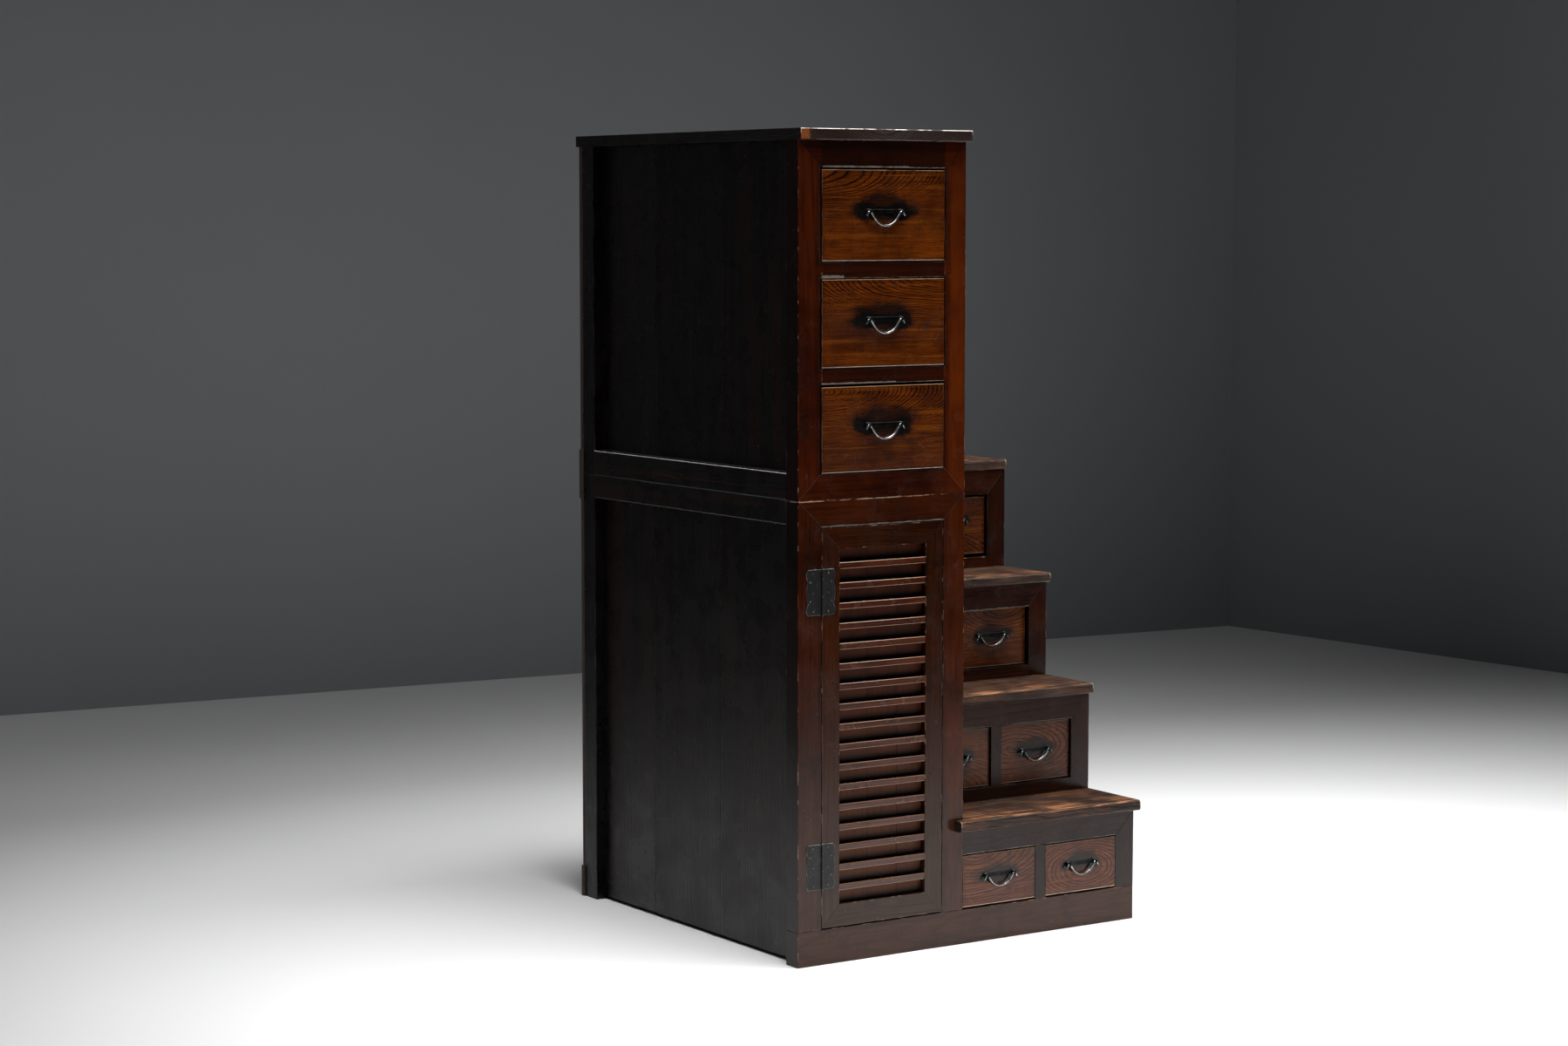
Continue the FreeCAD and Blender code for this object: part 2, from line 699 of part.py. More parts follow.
def build_drawer(name, opening, low, high, front, end, kind, rise):
    """An open box whose front is rebated for the sides and the bottom."""
    left = "(%s) + drawer_side_gap" % opening[0]
    right = "(%s) - drawer_side_gap" % opening[1]
    rebate = "(%s) + drawer_lap" % front
    inside = "(%s) + drawer_front_thick" % front
    left_in = left + " + drawer_side_thick"
    right_in = right + " - drawer_side_thick"
    side_top = high + " - drawer_side_drop"
    middle = "((%s) + (%s)) / 2" % (opening[0], opening[1])
    stud_z = "((%s) + (%s)) / 2 + %s" % (low, high, rise)
    front_board = fused(name + "_front_outline", [
        board(name + "_face", (left, right), (front, rebate), (low, high)),
        board(name + "_tongue", (left_in, right_in), (rebate, inside),
              (low + " + drawer_bottom_thick", high)),
    ])
    span = HANDLES[kind][0]
    holes = group(name + "_stud_holes", [
        shank("%s_stud_hole_%d" % (name, index), x, (front, inside), stud_z)
        for index, x in enumerate(("(%s) - %s / 2" % (middle, span), "(%s) + %s / 2" % (middle, span)))
    ])
    node("drawer_" + name, [
        cut(name + "_front", front_board, holes),
        board(name + "_left_side", (left, left_in), (rebate, end), (low, side_top)),
        board(name + "_right_side", (right_in, right), (rebate, end), (low, side_top)),
        board(name + "_bottom", (left_in, right_in), (rebate, end),
              (low, low + " + drawer_bottom_thick")),
        board(name + "_back", (left_in, right_in), (end + " - drawer_back_thick", end),
              (low + " + drawer_bottom_thick", side_top)),
    ])
    build_handle(name, middle, front, stud_z, kind)


def build_drawers():
    opening = ("left_stile", TALL_OPENING_END)
    for name, foot, head, gap in (
        ("top", TOP_OPENING_FOOT, TOP_OPENING_HEAD, "top_drawer_head_gap"),
        ("middle", MIDDLE_OPENING_FOOT, MIDDLE_OPENING_HEAD, "middle_drawer_head_gap"),
        ("bottom", BOTTOM_OPENING_FOOT, BOTTOM_OPENING_HEAD, "bottom_drawer_head_gap"),
    ):
        build_drawer(name, opening, foot + " + drawer_run_gap", "%s - %s" % (head, gap), "0",
                     BACK + " - upper_drawer_back_gap", "wide", "upper_handle_rise")
    sides = {
        "left": ("tall_width", MIDDLE_STILE[0]),
        "right": (MIDDLE_STILE[1], STEP_OPENING_END),
    }
    for number in range(1, 5):
        high = "%s - top_rail_%d - head_gap_%d" % (TREAD_FEET[number - 1], number, number)
        front = "%s + setback_%d" % (STEP_FRONTS[number - 1], number)
        end = BACK + " - step_4_drawer_back_gap" if number == 4 else front + " + step_drawer_long"
        for side, opening in sides.items():
            build_drawer("step_%d_%s" % (number, side), opening, DRAWER_FEET[number - 1], high,
                         front, end, "narrow", "handle_rise_%d" % number)


DOOR_LEFT = "left_stile + door_side_gap"
DOOR_RIGHT = TALL_OPENING_END + " - door_side_gap"
DOOR_FOOT = "base_height + door_foot_gap"
DOOR_HEAD = "lower_height - cupboard_rail - door_head_gap"
DOOR_INNER = (DOOR_LEFT + " + door_stile", DOOR_RIGHT + " - door_stile")
PANEL_FOOT = DOOR_FOOT + " + door_bottom_rail"
PANEL_HEAD = DOOR_HEAD + " - door_top_rail"


def build_door():
    """Mitred frame with flat bars let into its stiles, and boards nailed on behind."""
    count = int(value("bar_count"))
    space = "((%s) - (%s) - %d * bar_high) / %d" % (PANEL_HEAD, PANEL_FOOT, count, count + 1)
    bars = []
    for index in range(count):
        low = "%s + %d * (%s) + %d * bar_high" % (PANEL_FOOT, index + 1, space, index)
        bars.append(board("door_bar_%d" % (index + 1),
                          (DOOR_INNER[0] + " - bar_tenon", DOOR_INNER[1] + " + bar_tenon"),
                          ("bar_setback", "bar_setback + bar_thick"), (low, low + " + bar_high")))
    node("door_bars", bars)
    deep = ("0", "door_frame_thick")
    mortises = group("door_mortises", bars)
    left = mitred_stile("door_left_outline", (DOOR_LEFT, DOOR_INNER[0]), deep,
                        (DOOR_FOOT, DOOR_HEAD), (PANEL_FOOT, PANEL_HEAD))
    right = mitred_stile("door_right_outline", (DOOR_INNER[1], DOOR_RIGHT), deep,
                         (PANEL_FOOT, PANEL_HEAD), (DOOR_FOOT, DOOR_HEAD))
    node("door_frame", [
        cut("door_left_stile", left, mortises),
        cut("door_right_stile", right, mortises),
        mitred_rail("door_foot_rail", (DOOR_FOOT, PANEL_FOOT), deep,
                    (DOOR_LEFT, DOOR_RIGHT), DOOR_INNER),
        mitred_rail("door_head_rail", (PANEL_HEAD, DOOR_HEAD), deep,
                    DOOR_INNER, (DOOR_LEFT, DOOR_RIGHT)),
    ])
    start = DOOR_INNER[0] + " - door_board_lap"
    first = start + " + door_left_board"
    second = first + " + door_middle_board"
    end = DOOR_INNER[1] + " + door_board_lap"
    behind = ("door_frame_thick", "door_frame_thick + door_board_thick")
    tall = (PANEL_FOOT + " - door_board_lap", PANEL_HEAD + " + door_board_lap")
    node("door_boards", [
        board("door_board_%d" % (index + 1), x, behind, tall)
        for index, x in enumerate(((start, first), (first, second), (second, end)))
    ])


HINGE_X = "left_stile + door_side_gap / 2"
HINGE_Y = "-leaf_thick - knuckle_radius + knuckle_sink"
NAIL_SIDES = 8
NAIL_HEIGHTS = (0.08, 0.27, 0.51, 0.69, 0.91)


def lobed_plate(name, x, z, outward):
    """A flat leaf whose outer edge has a long lobe between two short ones."""
    outer, inner = x
    flat = ("-leaf_thick", "0")
    rim = "(%s) %s lobe_depth" % (outer, "+" if outward == "-" else "-")
    foot, head = z
    lobes = (
        (less("small_lobe", "0"), "(%s) + small_lobe / 2" % foot),
        ("(hinge_high - 2 * small_lobe)", "(%s) + hinge_high / 2" % foot),
        (less("small_lobe", "0"), "(%s) - small_lobe / 2" % head),
    )
    pieces = []
    for index, (chord, middle_z) in enumerate(lobes):
        radius = "(((%s) ^ 2) / 4 + lobe_depth ^ 2) / (2 * lobe_depth)" % chord
        middle_x = "(%s) %s (%s)" % (outer, "+" if outward == "-" else "-", radius)
        pieces.append(rod("%s_lobe_%d" % (name, index), "y", (middle_x, "-leaf_thick", middle_z),
                          "leaf_thick", radius))
    core = (rim, inner) if outward == "-" else (inner, rim)
    whole = (outer, inner) if outward == "-" else (inner, outer)
    pieces.append(board(name + "_core", core, flat, z))
    outline = doc.addObject("Part::MultiCommon", name + "_plate")
    outline.Shapes = [fused(name + "_lobes", pieces), board(name + "_blank", whole, flat, z)]
    return outline


def knuckle(name, foot, high, tab):
    """One rolled knuckle with the tab that joins it to its leaf."""
    return [
        rod(name + "_barrel", "z", (HINGE_X, HINGE_Y, foot), high, "knuckle_radius"),
        board(name + "_tab", tab, ("-leaf_thick", "-leaf_thick / 2"), (foot, "(%s) + %s" % (foot, high))),
    ]


def leaf_nails(name, outer, inward, foot):
    """Nail heads that zigzag down a leaf."""
    nails = []
    for index, share in enumerate(NAIL_HEIGHTS):
        inset = "nail_inner" if index % 2 == 0 else "nail_outer"
        place = ("(%s) %s %s" % (outer, inward, inset), "-leaf_thick - nail_high",
                 "(%s) + hinge_high * %s" % (foot, 1 - share))
        nails.append(faceted("%s_nail_%d" % (name, index + 1), "y", place,
                             "nail_high", "nail_radius", NAIL_SIDES))
    return nails


def build_hinges():
    post_pieces = []
    door_pieces = []
    reach = "knuckle_radius + leaf_gap"
    post_outer = HINGE_X + " - post_leaf_wide"
    door_outer = HINGE_X + " + door_leaf_wide"
    post_inner = "%s - (%s)" % (HINGE_X, reach)
    door_inner = "%s + %s" % (HINGE_X, reach)
    middle_high = "lower_knuckle_high - leaf_gap"
    lower_high = "hinge_high - upper_knuckle_high - lower_knuckle_high - 2 * leaf_gap"
    post_tab = (post_inner, HINGE_X + " - knuckle_radius / 2")
    door_tab = (HINGE_X + " + knuckle_radius / 2", door_inner)
    bore_radius = "pin_radius + pin_clearance"
    upper_hinge = DOOR_HEAD + " - upper_hinge_drop - hinge_high"
    lower_hinge = DOOR_FOOT + " + lower_hinge_rise"
    for name, foot in (("upper_hinge", upper_hinge), ("lower_hinge", lower_hinge)):
        head = "%s + hinge_high" % foot
        middle_foot = "%s - upper_knuckle_high - lower_knuckle_high - leaf_gap" % head
        upper_foot = "%s - upper_knuckle_high" % head
        bore = rod(name + "_post_bore", "z", (HINGE_X, HINGE_Y, foot), "hinge_high", bore_radius)
        post_plate = lobed_plate(name + "_post", (post_outer, post_inner), (foot, head), "-")
        post_solid = fused(name + "_post_solid", [post_plate]
                           + knuckle(name + "_upper", upper_foot, "upper_knuckle_high", post_tab)
                           + knuckle(name + "_lower", foot, lower_high, post_tab))
        door_bore = rod(name + "_door_bore", "z", (HINGE_X, HINGE_Y, foot), "hinge_high", bore_radius)
        door_plate = lobed_plate(name + "_door", (door_outer, door_inner), (foot, head), "+")
        door_solid = fused(name + "_door_solid", [door_plate]
                           + knuckle(name + "_middle", middle_foot, middle_high, door_tab))
        post_pieces.append(cut(name + "_post_leaf", post_solid, bore))
        post_pieces.append(rod(name + "_pin", "z", (HINGE_X, HINGE_Y, "%s - pin_stand" % foot),
                               "hinge_high + 2 * pin_stand", "pin_radius"))
        post_pieces.extend(leaf_nails(name + "_post", post_outer, "+", foot))
        door_pieces.append(cut(name + "_door_leaf", door_solid, door_bore))
        door_pieces.extend(leaf_nails(name + "_door", door_outer, "-", foot))
    node("hinge_post_leaves", post_pieces)
    node("hinge_door_leaves", door_pieces)


build_base()
build_cupboard()
build_back()
for step in range(1, 5):
    build_step_frame(step)
    build_tread(step)
build_step_side()
build_runners()
build_upper_chest()
build_drawers()
build_door()
build_hinges()
doc.recompute()

faults = [item.Name for item in doc.Objects if "Invalid" in item.State or "Error" in item.State]
if faults:
    raise RuntimeError("These objects failed: " + ", ".join(faults))
for label, item in NODES.items():
    if item.Shape.isNull() or not item.Shape.isValid():
        raise RuntimeError("This sub-part has no valid shape: " + label)

os.makedirs("parts", exist_ok=True)
for label, item in NODES.items():
    item.Shape.exportStep("parts/%s.step" % label)
box = Part.makeCompound([item.Shape for item in NODES.values()]).BoundBox
print("nodes %d, solids %d" % (len(NODES), sum(len(item.Shape.Solids) for item in NODES.values())))
print("box %.1f %.1f %.1f to %.1f %.1f %.1f" % (box.XMin, box.YMin, box.ZMin, box.XMax, box.YMax, box.ZMax))
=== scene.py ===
import math
from random import Random

import bpy
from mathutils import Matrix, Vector


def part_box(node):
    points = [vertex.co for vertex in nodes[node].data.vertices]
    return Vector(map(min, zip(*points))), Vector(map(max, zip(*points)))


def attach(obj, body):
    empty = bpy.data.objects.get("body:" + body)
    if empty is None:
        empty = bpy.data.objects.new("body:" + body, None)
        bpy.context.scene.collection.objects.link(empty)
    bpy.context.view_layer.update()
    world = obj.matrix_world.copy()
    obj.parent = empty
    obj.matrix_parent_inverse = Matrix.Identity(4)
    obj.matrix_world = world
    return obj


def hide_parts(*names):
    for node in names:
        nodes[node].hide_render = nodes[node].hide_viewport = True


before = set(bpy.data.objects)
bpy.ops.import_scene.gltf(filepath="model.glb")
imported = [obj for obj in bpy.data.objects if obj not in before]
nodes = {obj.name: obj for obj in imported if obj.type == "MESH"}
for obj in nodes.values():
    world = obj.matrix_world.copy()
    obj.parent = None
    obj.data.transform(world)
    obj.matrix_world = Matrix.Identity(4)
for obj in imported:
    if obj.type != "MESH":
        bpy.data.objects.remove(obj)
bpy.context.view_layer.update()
draws = Random(7)

# The drawers of the upper chest have long fronts and wide bails
UPPER_DRAWERS = ("top", "middle", "bottom")
STEPS = (1, 2, 3, 4)
STEP_DRAWERS = tuple("step_%d_%s" % (step, side) for step in STEPS for side in ("left", "right"))
DRAWERS = UPPER_DRAWERS + STEP_DRAWERS

# Where the growth rings of each drawer front centre, in metres above and to the right of its middle,
# how much deeper they lie for each metre to the right, and how many there are to a metre near the pith
# and farther out
FRONT_FIGURES = {
    "top": (0.095, -0.251, 0.232, 60, 15000),
    "middle": (0.101, 0.197, 0.232, 170, 7000),
    "bottom": (0.080, -0.160, 0.265, 300, 2000),
    "step_4_left": (0.06, -0.10, 0.35, 120, 3000),
    "step_4_right": (-0.10, -0.12, 0.40, 90, 3000),
    "step_3_left": (-0.09, 0.10, 0.40, 90, 3000),
    "step_3_right": (0.075, 0.035, 0.42, 110, 3500),
    "step_2_left": (-0.07, -0.08, 0.35, 110, 3000),
    "step_2_right": (0.012, -0.055, 0.40, 130, 2600),
    "step_1_left": (0.060, -0.06, 0.40, 110, 3000),
    "step_1_right": (-0.008, 0.016, 0.46, 150, 2600),
}


def solids_of(mesh):
    """Group a node's faces into its separate closed solids: one ends where no edge is left open."""
    open_edges = set()
    solids, current = [], []
    for face in mesh.polygons:
        corners = [tuple(round(c, 6) for c in mesh.vertices[i].co) for i in face.vertices]
        for first, second in zip(corners, corners[1:] + corners[:1]):
            open_edges ^= {frozenset((first, second))}
        current.append(face)
        if not open_edges:
            solids.append(current)
            current = []
    if current:
        solids.append(current)
    return solids


class Board:
    """One solid of a node, with its box and the order of its axes from across to thin to along."""

    def __init__(self, mesh, faces):
        self.corners = sorted({i for face in faces for i in face.vertices})
        places = [mesh.vertices[i].co for i in self.corners]
        low = Vector([min(p[k] for p in places) for k in range(3)])
        high = Vector([max(p[k] for p in places) for k in range(3)])
        self.middle = (low + high) / 2
        self.half = (high - low) / 2
        thin, across, along = sorted(range(3), key=lambda k: self.half[k])
        self.axes = (across, thin, along)


def write_layer(mesh, name, values):
    """Write one vector for each corner of a mesh."""
    layer = mesh.attributes.new(name, "FLOAT_VECTOR", "POINT")
    layer.data.foreach_set("vector", [number for value in values for number in value])


BOARD_LAYERS = ("board_place", "board_half", "board_seed",
                "board_figure", "board_rings", "board_number")
# Where the pith of a board can lie, across and behind it, and how far it tilts
PITH_ACROSS = 0.05
PITH_BEHIND = (0.02, 0.09)
PITH_TILT = 0.05
# How many rings there are to a metre, near the pith and farther out
RINGS_NEAR = (110, 170)
RINGS_FAR = 1500


def write_boards(node, own_figure):
    """Give every corner its place on its board, the board's half sizes, a seed and its growth rings."""
    mesh = nodes[node].data
    corners = [None] * len(mesh.vertices)
    boards = [Board(mesh, faces) for faces in solids_of(mesh)]
    for index, board in enumerate(boards):
        lot = [draws.uniform(-9, 9) for _ in range(3)]
        pith = (draws.uniform(-PITH_ACROSS, PITH_ACROSS),
                draws.choice((-1, 1)) * draws.uniform(*PITH_BEHIND),
                draws.uniform(-PITH_TILT, PITH_TILT))
        lines = (draws.uniform(*RINGS_NEAR), RINGS_FAR, draws.random())
        if own_figure and index == 0:
            above, beside, tilt, near, far = own_figure
            pith = (above, board.half.y - tilt * beside, tilt)
            lines = (near, far, 0.5)
        half = [board.half[k] for k in board.axes]
        for i in board.corners:
            apart = mesh.vertices[i].co - board.middle
            corners[i] = ([apart[k] for k in board.axes], half, lot, pith, lines, (index, 0, 0))
    for name, values in zip(BOARD_LAYERS, zip(*corners)):
        write_layer(mesh, name, values)
    return boards


class Shade:
    """One material's node tree, built by plain calls on a tone that is covered and stained in turn."""

    def __init__(self, name):
        self.material = bpy.data.materials.new(name)
        self.material.use_nodes = True
        self.tree = self.material.node_tree
        self.tree.nodes.clear()
        self.tone = None

    def add(self, kind, *values, **settings):
        item = self.tree.nodes.new(kind)
        for key, setting in settings.items():
            setattr(item, key, setting)
        for socket, given in zip(item.inputs, values):
            if given is not None:
                self.put(socket, given)
        return item

    def put(self, socket, given):
        if isinstance(given, bpy.types.NodeSocket):
            self.tree.links.new(given, socket)
        else:
            socket.default_value = given

    def math(self, operation, *values):
        return self.add("ShaderNodeMath", *values, operation=operation).outputs[0]

    def plus(self, first, second):
        return self.math("ADD", first, second)

    def minus(self, first, second):
        return self.math("SUBTRACT", first, second)

    def times(self, first, second):
        return self.math("MULTIPLY", first, second)

    def vector(self, operation, *values):
        return self.add("ShaderNodeVectorMath", *values, operation=operation).outputs[0]

    def stretch(self, vector, factors):
        return self.vector("MULTIPLY", vector, factors)

    def split(self, vector):
        return self.add("ShaderNodeSeparateXYZ", vector).outputs

    def join(self, x, y, z):
        return self.add("ShaderNodeCombineXYZ", x, y, z).outputs[0]

    def read(self, name):
        return self.add("ShaderNodeAttribute", attribute_name=name).outputs["Vector"]

    def noise(self, vector, scale, detail, roughness=0.55):
        item = self.add("ShaderNodeTexNoise")
        self.put(item.inputs["Vector"], vector)
        self.put(item.inputs["Scale"], scale)
        self.put(item.inputs["Detail"], detail)
        self.put(item.inputs["Roughness"], roughness)
        return item.outputs["Fac"]

    def absolute(self, value):
        return self.math("ABSOLUTE", value)

    def ramp(self, value, low, high, start=0.0, end=1.0):
        """Rise smoothly from start to end while a value goes from low to high."""
        item = self.add("ShaderNodeMapRange", value, low, high, start, end,
                        interpolation_type="SMOOTHSTEP")
        return item.outputs[0]

    def fall(self, value, low, high, start=1.0):
        """Fall smoothly from start to nothing while a value goes from low to high."""
        return self.ramp(value, low, high, start, 0.0)

    def mix(self, factor, first, second):
        return self.blend("MIX", factor, first, second)

    def cover(self, paint, mask, share=None):
        """Lay a paint over the tone where a mask says so, by a share that can be a mask too."""
        self.tone = self.mix(mask if share is None else self.times(mask, share), self.tone, paint)

    def stain(self, tint, mask, share=None):
        """Darken the tone by a tint where a mask says so, by a share of it."""
        mask = mask if share is None else self.times(mask, share)
        self.tone = self.blend("MULTIPLY", mask, self.tone, tint)

    def blend(self, mode, factor, first, second):
        """Blend two tones: each is a socket, four light amounts, or a colour from 0 to 255."""
        item = self.add("ShaderNodeMix", data_type="RGBA", blend_type=mode)
        self.put(item.inputs[0], factor)
        for socket, tone in ((item.inputs[6], first), (item.inputs[7], second)):
            self.put(socket, colour(*tone) if isinstance(tone, tuple) and len(tone) == 3 else tone)
        return item.outputs[2]

    def normal(self):
        return self.split(self.add("ShaderNodeNewGeometry").outputs["Normal"])

    def finish(self, roughness, height, relief, metallic=0.0, specular=0.5):
        """Close the tree with one shader; relief is the height in metres of a full step of height."""
        bump = self.add("ShaderNodeBump")
        self.put(bump.inputs["Height"], height)
        self.put(bump.inputs["Distance"], relief)
        self.put(bump.inputs["Strength"], 1.0)
        shader = self.add("ShaderNodeBsdfPrincipled")
        self.put(shader.inputs["Base Color"], self.tone)
        self.put(shader.inputs["Roughness"], roughness)
        self.put(shader.inputs["Metallic"], metallic)
        self.put(shader.inputs["Specular IOR Level"], specular)
        self.put(shader.inputs["Normal"], bump.outputs[0])
        end = self.add("ShaderNodeOutputMaterial")
        self.tree.links.new(shader.outputs[0], end.inputs[0])
        return self.material


def colour(red, green, blue):
    """A colour named by how it shows on screen, from 0 to 255, as light amounts."""
    return tuple(((c / 255) / 12.92 if c <= 10 else ((c / 255 + 0.055) / 1.055) ** 2.4)
                 for c in (red, green, blue)) + (1.0,)


class Timber(Shade):
    """A wood's tree, with the masks that all the woods share: rings, pores, edges and slow stains."""

    def __init__(self, name):
        super().__init__(name)
        self.place = self.read("board_place")
        self.across, self.thin, self.along = self.split(self.place)
        self.half = self.read("board_half")
        self.figure = self.read("board_figure")
        self.moved = self.vector("ADD", self.place, self.read("board_seed"))
        near, far, self.cast = self.split(self.read("board_rings"))
        self.rings = self.ring_lines(near, far)
        self.pores = self.noise(self.stretch(self.moved, (900, 900, 28)), 1.0, 3.0, 0.6)
        apart = self.vector("SUBTRACT", self.half, self.vector("ABSOLUTE", self.place))
        self.from_long_edge, self.from_broad_face, self.from_end = self.split(apart)
        low = self.math("MINIMUM", self.from_long_edge, self.from_broad_face)
        high = self.math("MAXIMUM", self.from_long_edge, self.from_broad_face)
        self.arris = self.math("MAXIMUM", low, self.math("MINIMUM", high, self.from_end))

    def ring_lines(self, near, far):
        """Dark growth lines round a tilted pith, closer together away from it, faded where too fine."""
        across, thin, along = self.across, self.thin, self.along
        pith_across, pith_depth, tilt = self.split(self.figure)
        slow = self.minus(self.noise(self.stretch(self.moved, (7, 7, 4)), 1.0, 2.0), 0.5)
        side = self.plus(self.minus(across, pith_across), self.times(slow, 0.03))
        deep = self.plus(self.plus(thin, pith_depth), self.times(tilt, along))
        radius = self.math("SQRT", self.plus(self.times(side, side), self.times(deep, deep)))
        ripple = self.noise(self.stretch(self.moved, (50, 50, 22)), 1.0, 3.0)
        radius = self.plus(radius, self.times(ripple, 0.003))
        turns = self.plus(self.times(radius, near), self.times(self.math("POWER", radius, 3.0), far))
        uneven = self.noise(self.join(self.times(turns, 0.5), 0.0, 0.0), 1.0, 1.0)
        phase = self.math("FRACT", self.plus(turns, self.times(uneven, 1.4)))
        rise = self.fall(phase, 0.0, 0.45)
        sharp = self.ramp(phase, 0.86, 1.0)
        lines = self.math("MAXIMUM", rise, sharp)
        to_a_metre = self.plus(near, self.times(self.times(radius, radius), self.times(far, 3.0)))
        sloped = self.times(tilt, deep)
        slope = self.math("SQRT", self.plus(self.times(side, side), self.times(sloped, sloped)))
        fineness = self.math("DIVIDE", self.times(to_a_metre, slope), radius)
        return self.times(lines, self.fall(fineness, 420.0, 900.0))

    def streaks(self, fine, slow, detail=3.0):
        """Noise drawn out along the board."""
        return self.noise(self.stretch(self.moved, (fine, fine, slow)), 1.0, detail)

    def grain(self, fine, slow, low, high, share=1.0, detail=3.0):
        """A mask of the darker streaks."""
        return self.ramp(self.streaks(fine, slow, detail), low, high, 0.0, share)

    def open_pores(self, low, high, share):
        return self.ramp(self.pores, low, high, 0.0, share)

    def relief(self, pores, rings):
        """Height from open pores and sunken rings, each by its own share."""
        return self.minus(self.times(self.pores, pores), self.times(self.rings, rings))

    def gloss(self, spread, least):
        """Patchy roughness from its least value up."""
        return self.plus(self.times(self.broken(20.0, 0.35, 0.7, 5.0), spread), least)

    def line(self, distance, width):
        """A line along an edge, one at the edge and nothing past its width."""
        return self.fall(distance, width * 0.4, width)

    def broken(self, scale, low, high, shift=0.0):
        """A patchy mask of one size of patch."""
        moved = self.vector("ADD", self.moved, (shift, shift, shift))
        return self.ramp(self.noise(moved, scale, 4.0, 0.62), low, high)

    def worn(self, reach, fine, low, high):
        """Broken wear along the arrises in a few stretches, as wide as reach at most."""
        wander = self.times(self.noise(self.moved, fine, 4.0, 0.65), reach)
        near = self.ramp(self.minus(wander, self.arris), 0.0, reach * 0.3)
        return self.times(near, self.broken(fine * 0.22, low, high, 1.7))


def own_place(shade):
    """Where a point lies in the resting object, in metres."""
    return shade.add("ShaderNodeTexCoord").outputs["Object"]


def from_middle(shade):
    """How far a point lies to the right of the object's middle."""
    return shade.split(own_place(shade))[0]


def height_over_floor(shade):
    return shade.split(own_place(shade))[2]


def faces_up(shade):
    """One where a surface looks up."""
    return shade.ramp(shade.normal()[2], 0.6, 0.9)


def from_boxes(shade, boxes):
    """How far a point lies outside the nearest of some boxes of the front, as front_box gives them."""
    x, _, z = shade.split(own_place(shade))
    nearest = None
    for left, right, foot, head in boxes:
        beside = shade.minus(shade.absolute(shade.minus(x, (left + right) / 2)), (right - left) / 2)
        above = shade.minus(shade.absolute(shade.minus(z, (foot + head) / 2)), (head - foot) / 2)
        distance = shade.math("MAXIMUM", beside, above)
        nearest = distance if nearest is None else shade.math("MINIMUM", nearest, distance)
    return nearest


def front_box(name):
    """A node's left, right, foot and head, seen from the front."""
    low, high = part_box(name)
    return (low.x, high.x, low.z, high.z)


def over(box, start, end, share=1.0):
    """The strip above a box between two heights, from its left end over a share of its width."""
    left, right, foot, head = box
    return (left, left + (right - left) * share, head + start, head + end)


def gap_round(box, left_gap, gap, top_gap):
    """A box grown by the gap round a drawer, where shade is painted, wider at its left and over it."""
    left, right, foot, head = box
    return (left - left_gap, right + gap, foot - gap, head + top_gap)


def lacquered_wood(name, dark, light, low_tone, worn, openings=(), chipped=(), seams=(), shaded=(),
                   warm=(), black_sides=False):
    """Dark red-brown lacquer, thin over the grain, black as painted shade at openings and rubbed
    through at arrises.

    Low_tone is its colour near the floor, a painted reflection of the pale floor, and the boxes say
    where it is open, chipped, seamed, shaded or warm.
    """
    wood = Timber(name)
    cloud = wood.plus(wood.times(wood.broken(5.0, 0.3, 0.7), 0.55), wood.times(wood.cast, 0.45))
    wood.tone = wood.mix(cloud, dark, light)
    # Painted reflection of the pale floor: the low tone takes over towards the floor
    wood.cover(low_tone, wood.fall(height_over_floor(wood), 0.06, 0.6), 0.9)
    wood.stain((150, 120, 100), wood.rings, 0.3)
    wood.stain((150, 110, 90), wood.grain(170, 4, 0.4, 0.7, 0.5))
    wood.stain((110, 80, 70), wood.open_pores(0.45, 0.75, 0.45))
    wood.cover((12, 5, 3), wood.broken(12.0, 0.52, 0.76, 3.0), 0.6)
    # Faces that look sideways are painted black: outside to match the black side planks, inside
    # openings as painted shade
    if black_sides:
        wood.cover((6, 4, 4), wood.ramp(wood.absolute(wood.normal()[0]), 0.6, 0.9), 0.88)
    if warm:
        inside = wood.fall(from_boxes(wood, warm), -0.008, 0.004)
        wood.cover((100, 42, 4), wood.times(inside, wood.broken(5.0, 0.35, 0.7, 9.0)), 0.45)
    if shaded:
        inside = wood.fall(from_boxes(wood, shaded), -0.004, 0.006, 0.62)
        wood.cover((14, 5, 3), inside)
    chips = wood.worn(0.0028, 170.0, 0.54, 0.62)
    wood.cover(worn, wood.worn(0.003, 60.0, 0.52, 0.64), 0.5)
    wood.cover((150, 122, 100), chips, 0.8)
    ragged = wood.times(wood.minus(wood.broken(60.0, 0.3, 0.7, 6.0), 0.5), 0.0018)
    if openings:
        apart = wood.plus(from_boxes(wood, openings), ragged)
        # Darker a short way out from each opening, and black in the gap round it as painted shade
        wood.cover((10, 4, 3), wood.fall(apart, 0.002, 0.016, 0.45))
        rubbed = wood.times(wood.fall(apart, 0.002, 0.0032), wood.broken(12.0, 0.45, 0.65, 3.3))
        wood.cover((52, 40, 34), rubbed)
        wood.cover((4, 3, 2), wood.fall(apart, 0.0008, 0.0018, 0.97))
    if chipped:
        apart = wood.plus(from_boxes(wood, chipped), ragged)
        flaked = wood.times(wood.fall(apart, 0.0002, 0.0012), wood.broken(34.0, 0.25, 0.45, 8.0))
        wood.cover((112, 104, 98), flaked, 0.85)
    if seams:
        apart = from_boxes(wood, seams)
        bright = wood.times(wood.fall(apart, 0.0, 0.0008), wood.broken(20.0, 0.42, 0.58, 2.2))
        wood.cover((170, 146, 124), bright, 0.75)
    height = wood.relief(0.3, 0.15)
    height = wood.plus(height, wood.noise(wood.stretch(wood.moved, (1, 1, 0.4)), 14.0, 2.0))
    return wood.finish(wood.gloss(0.14, 0.15), height, 0.00025, specular=0.25)


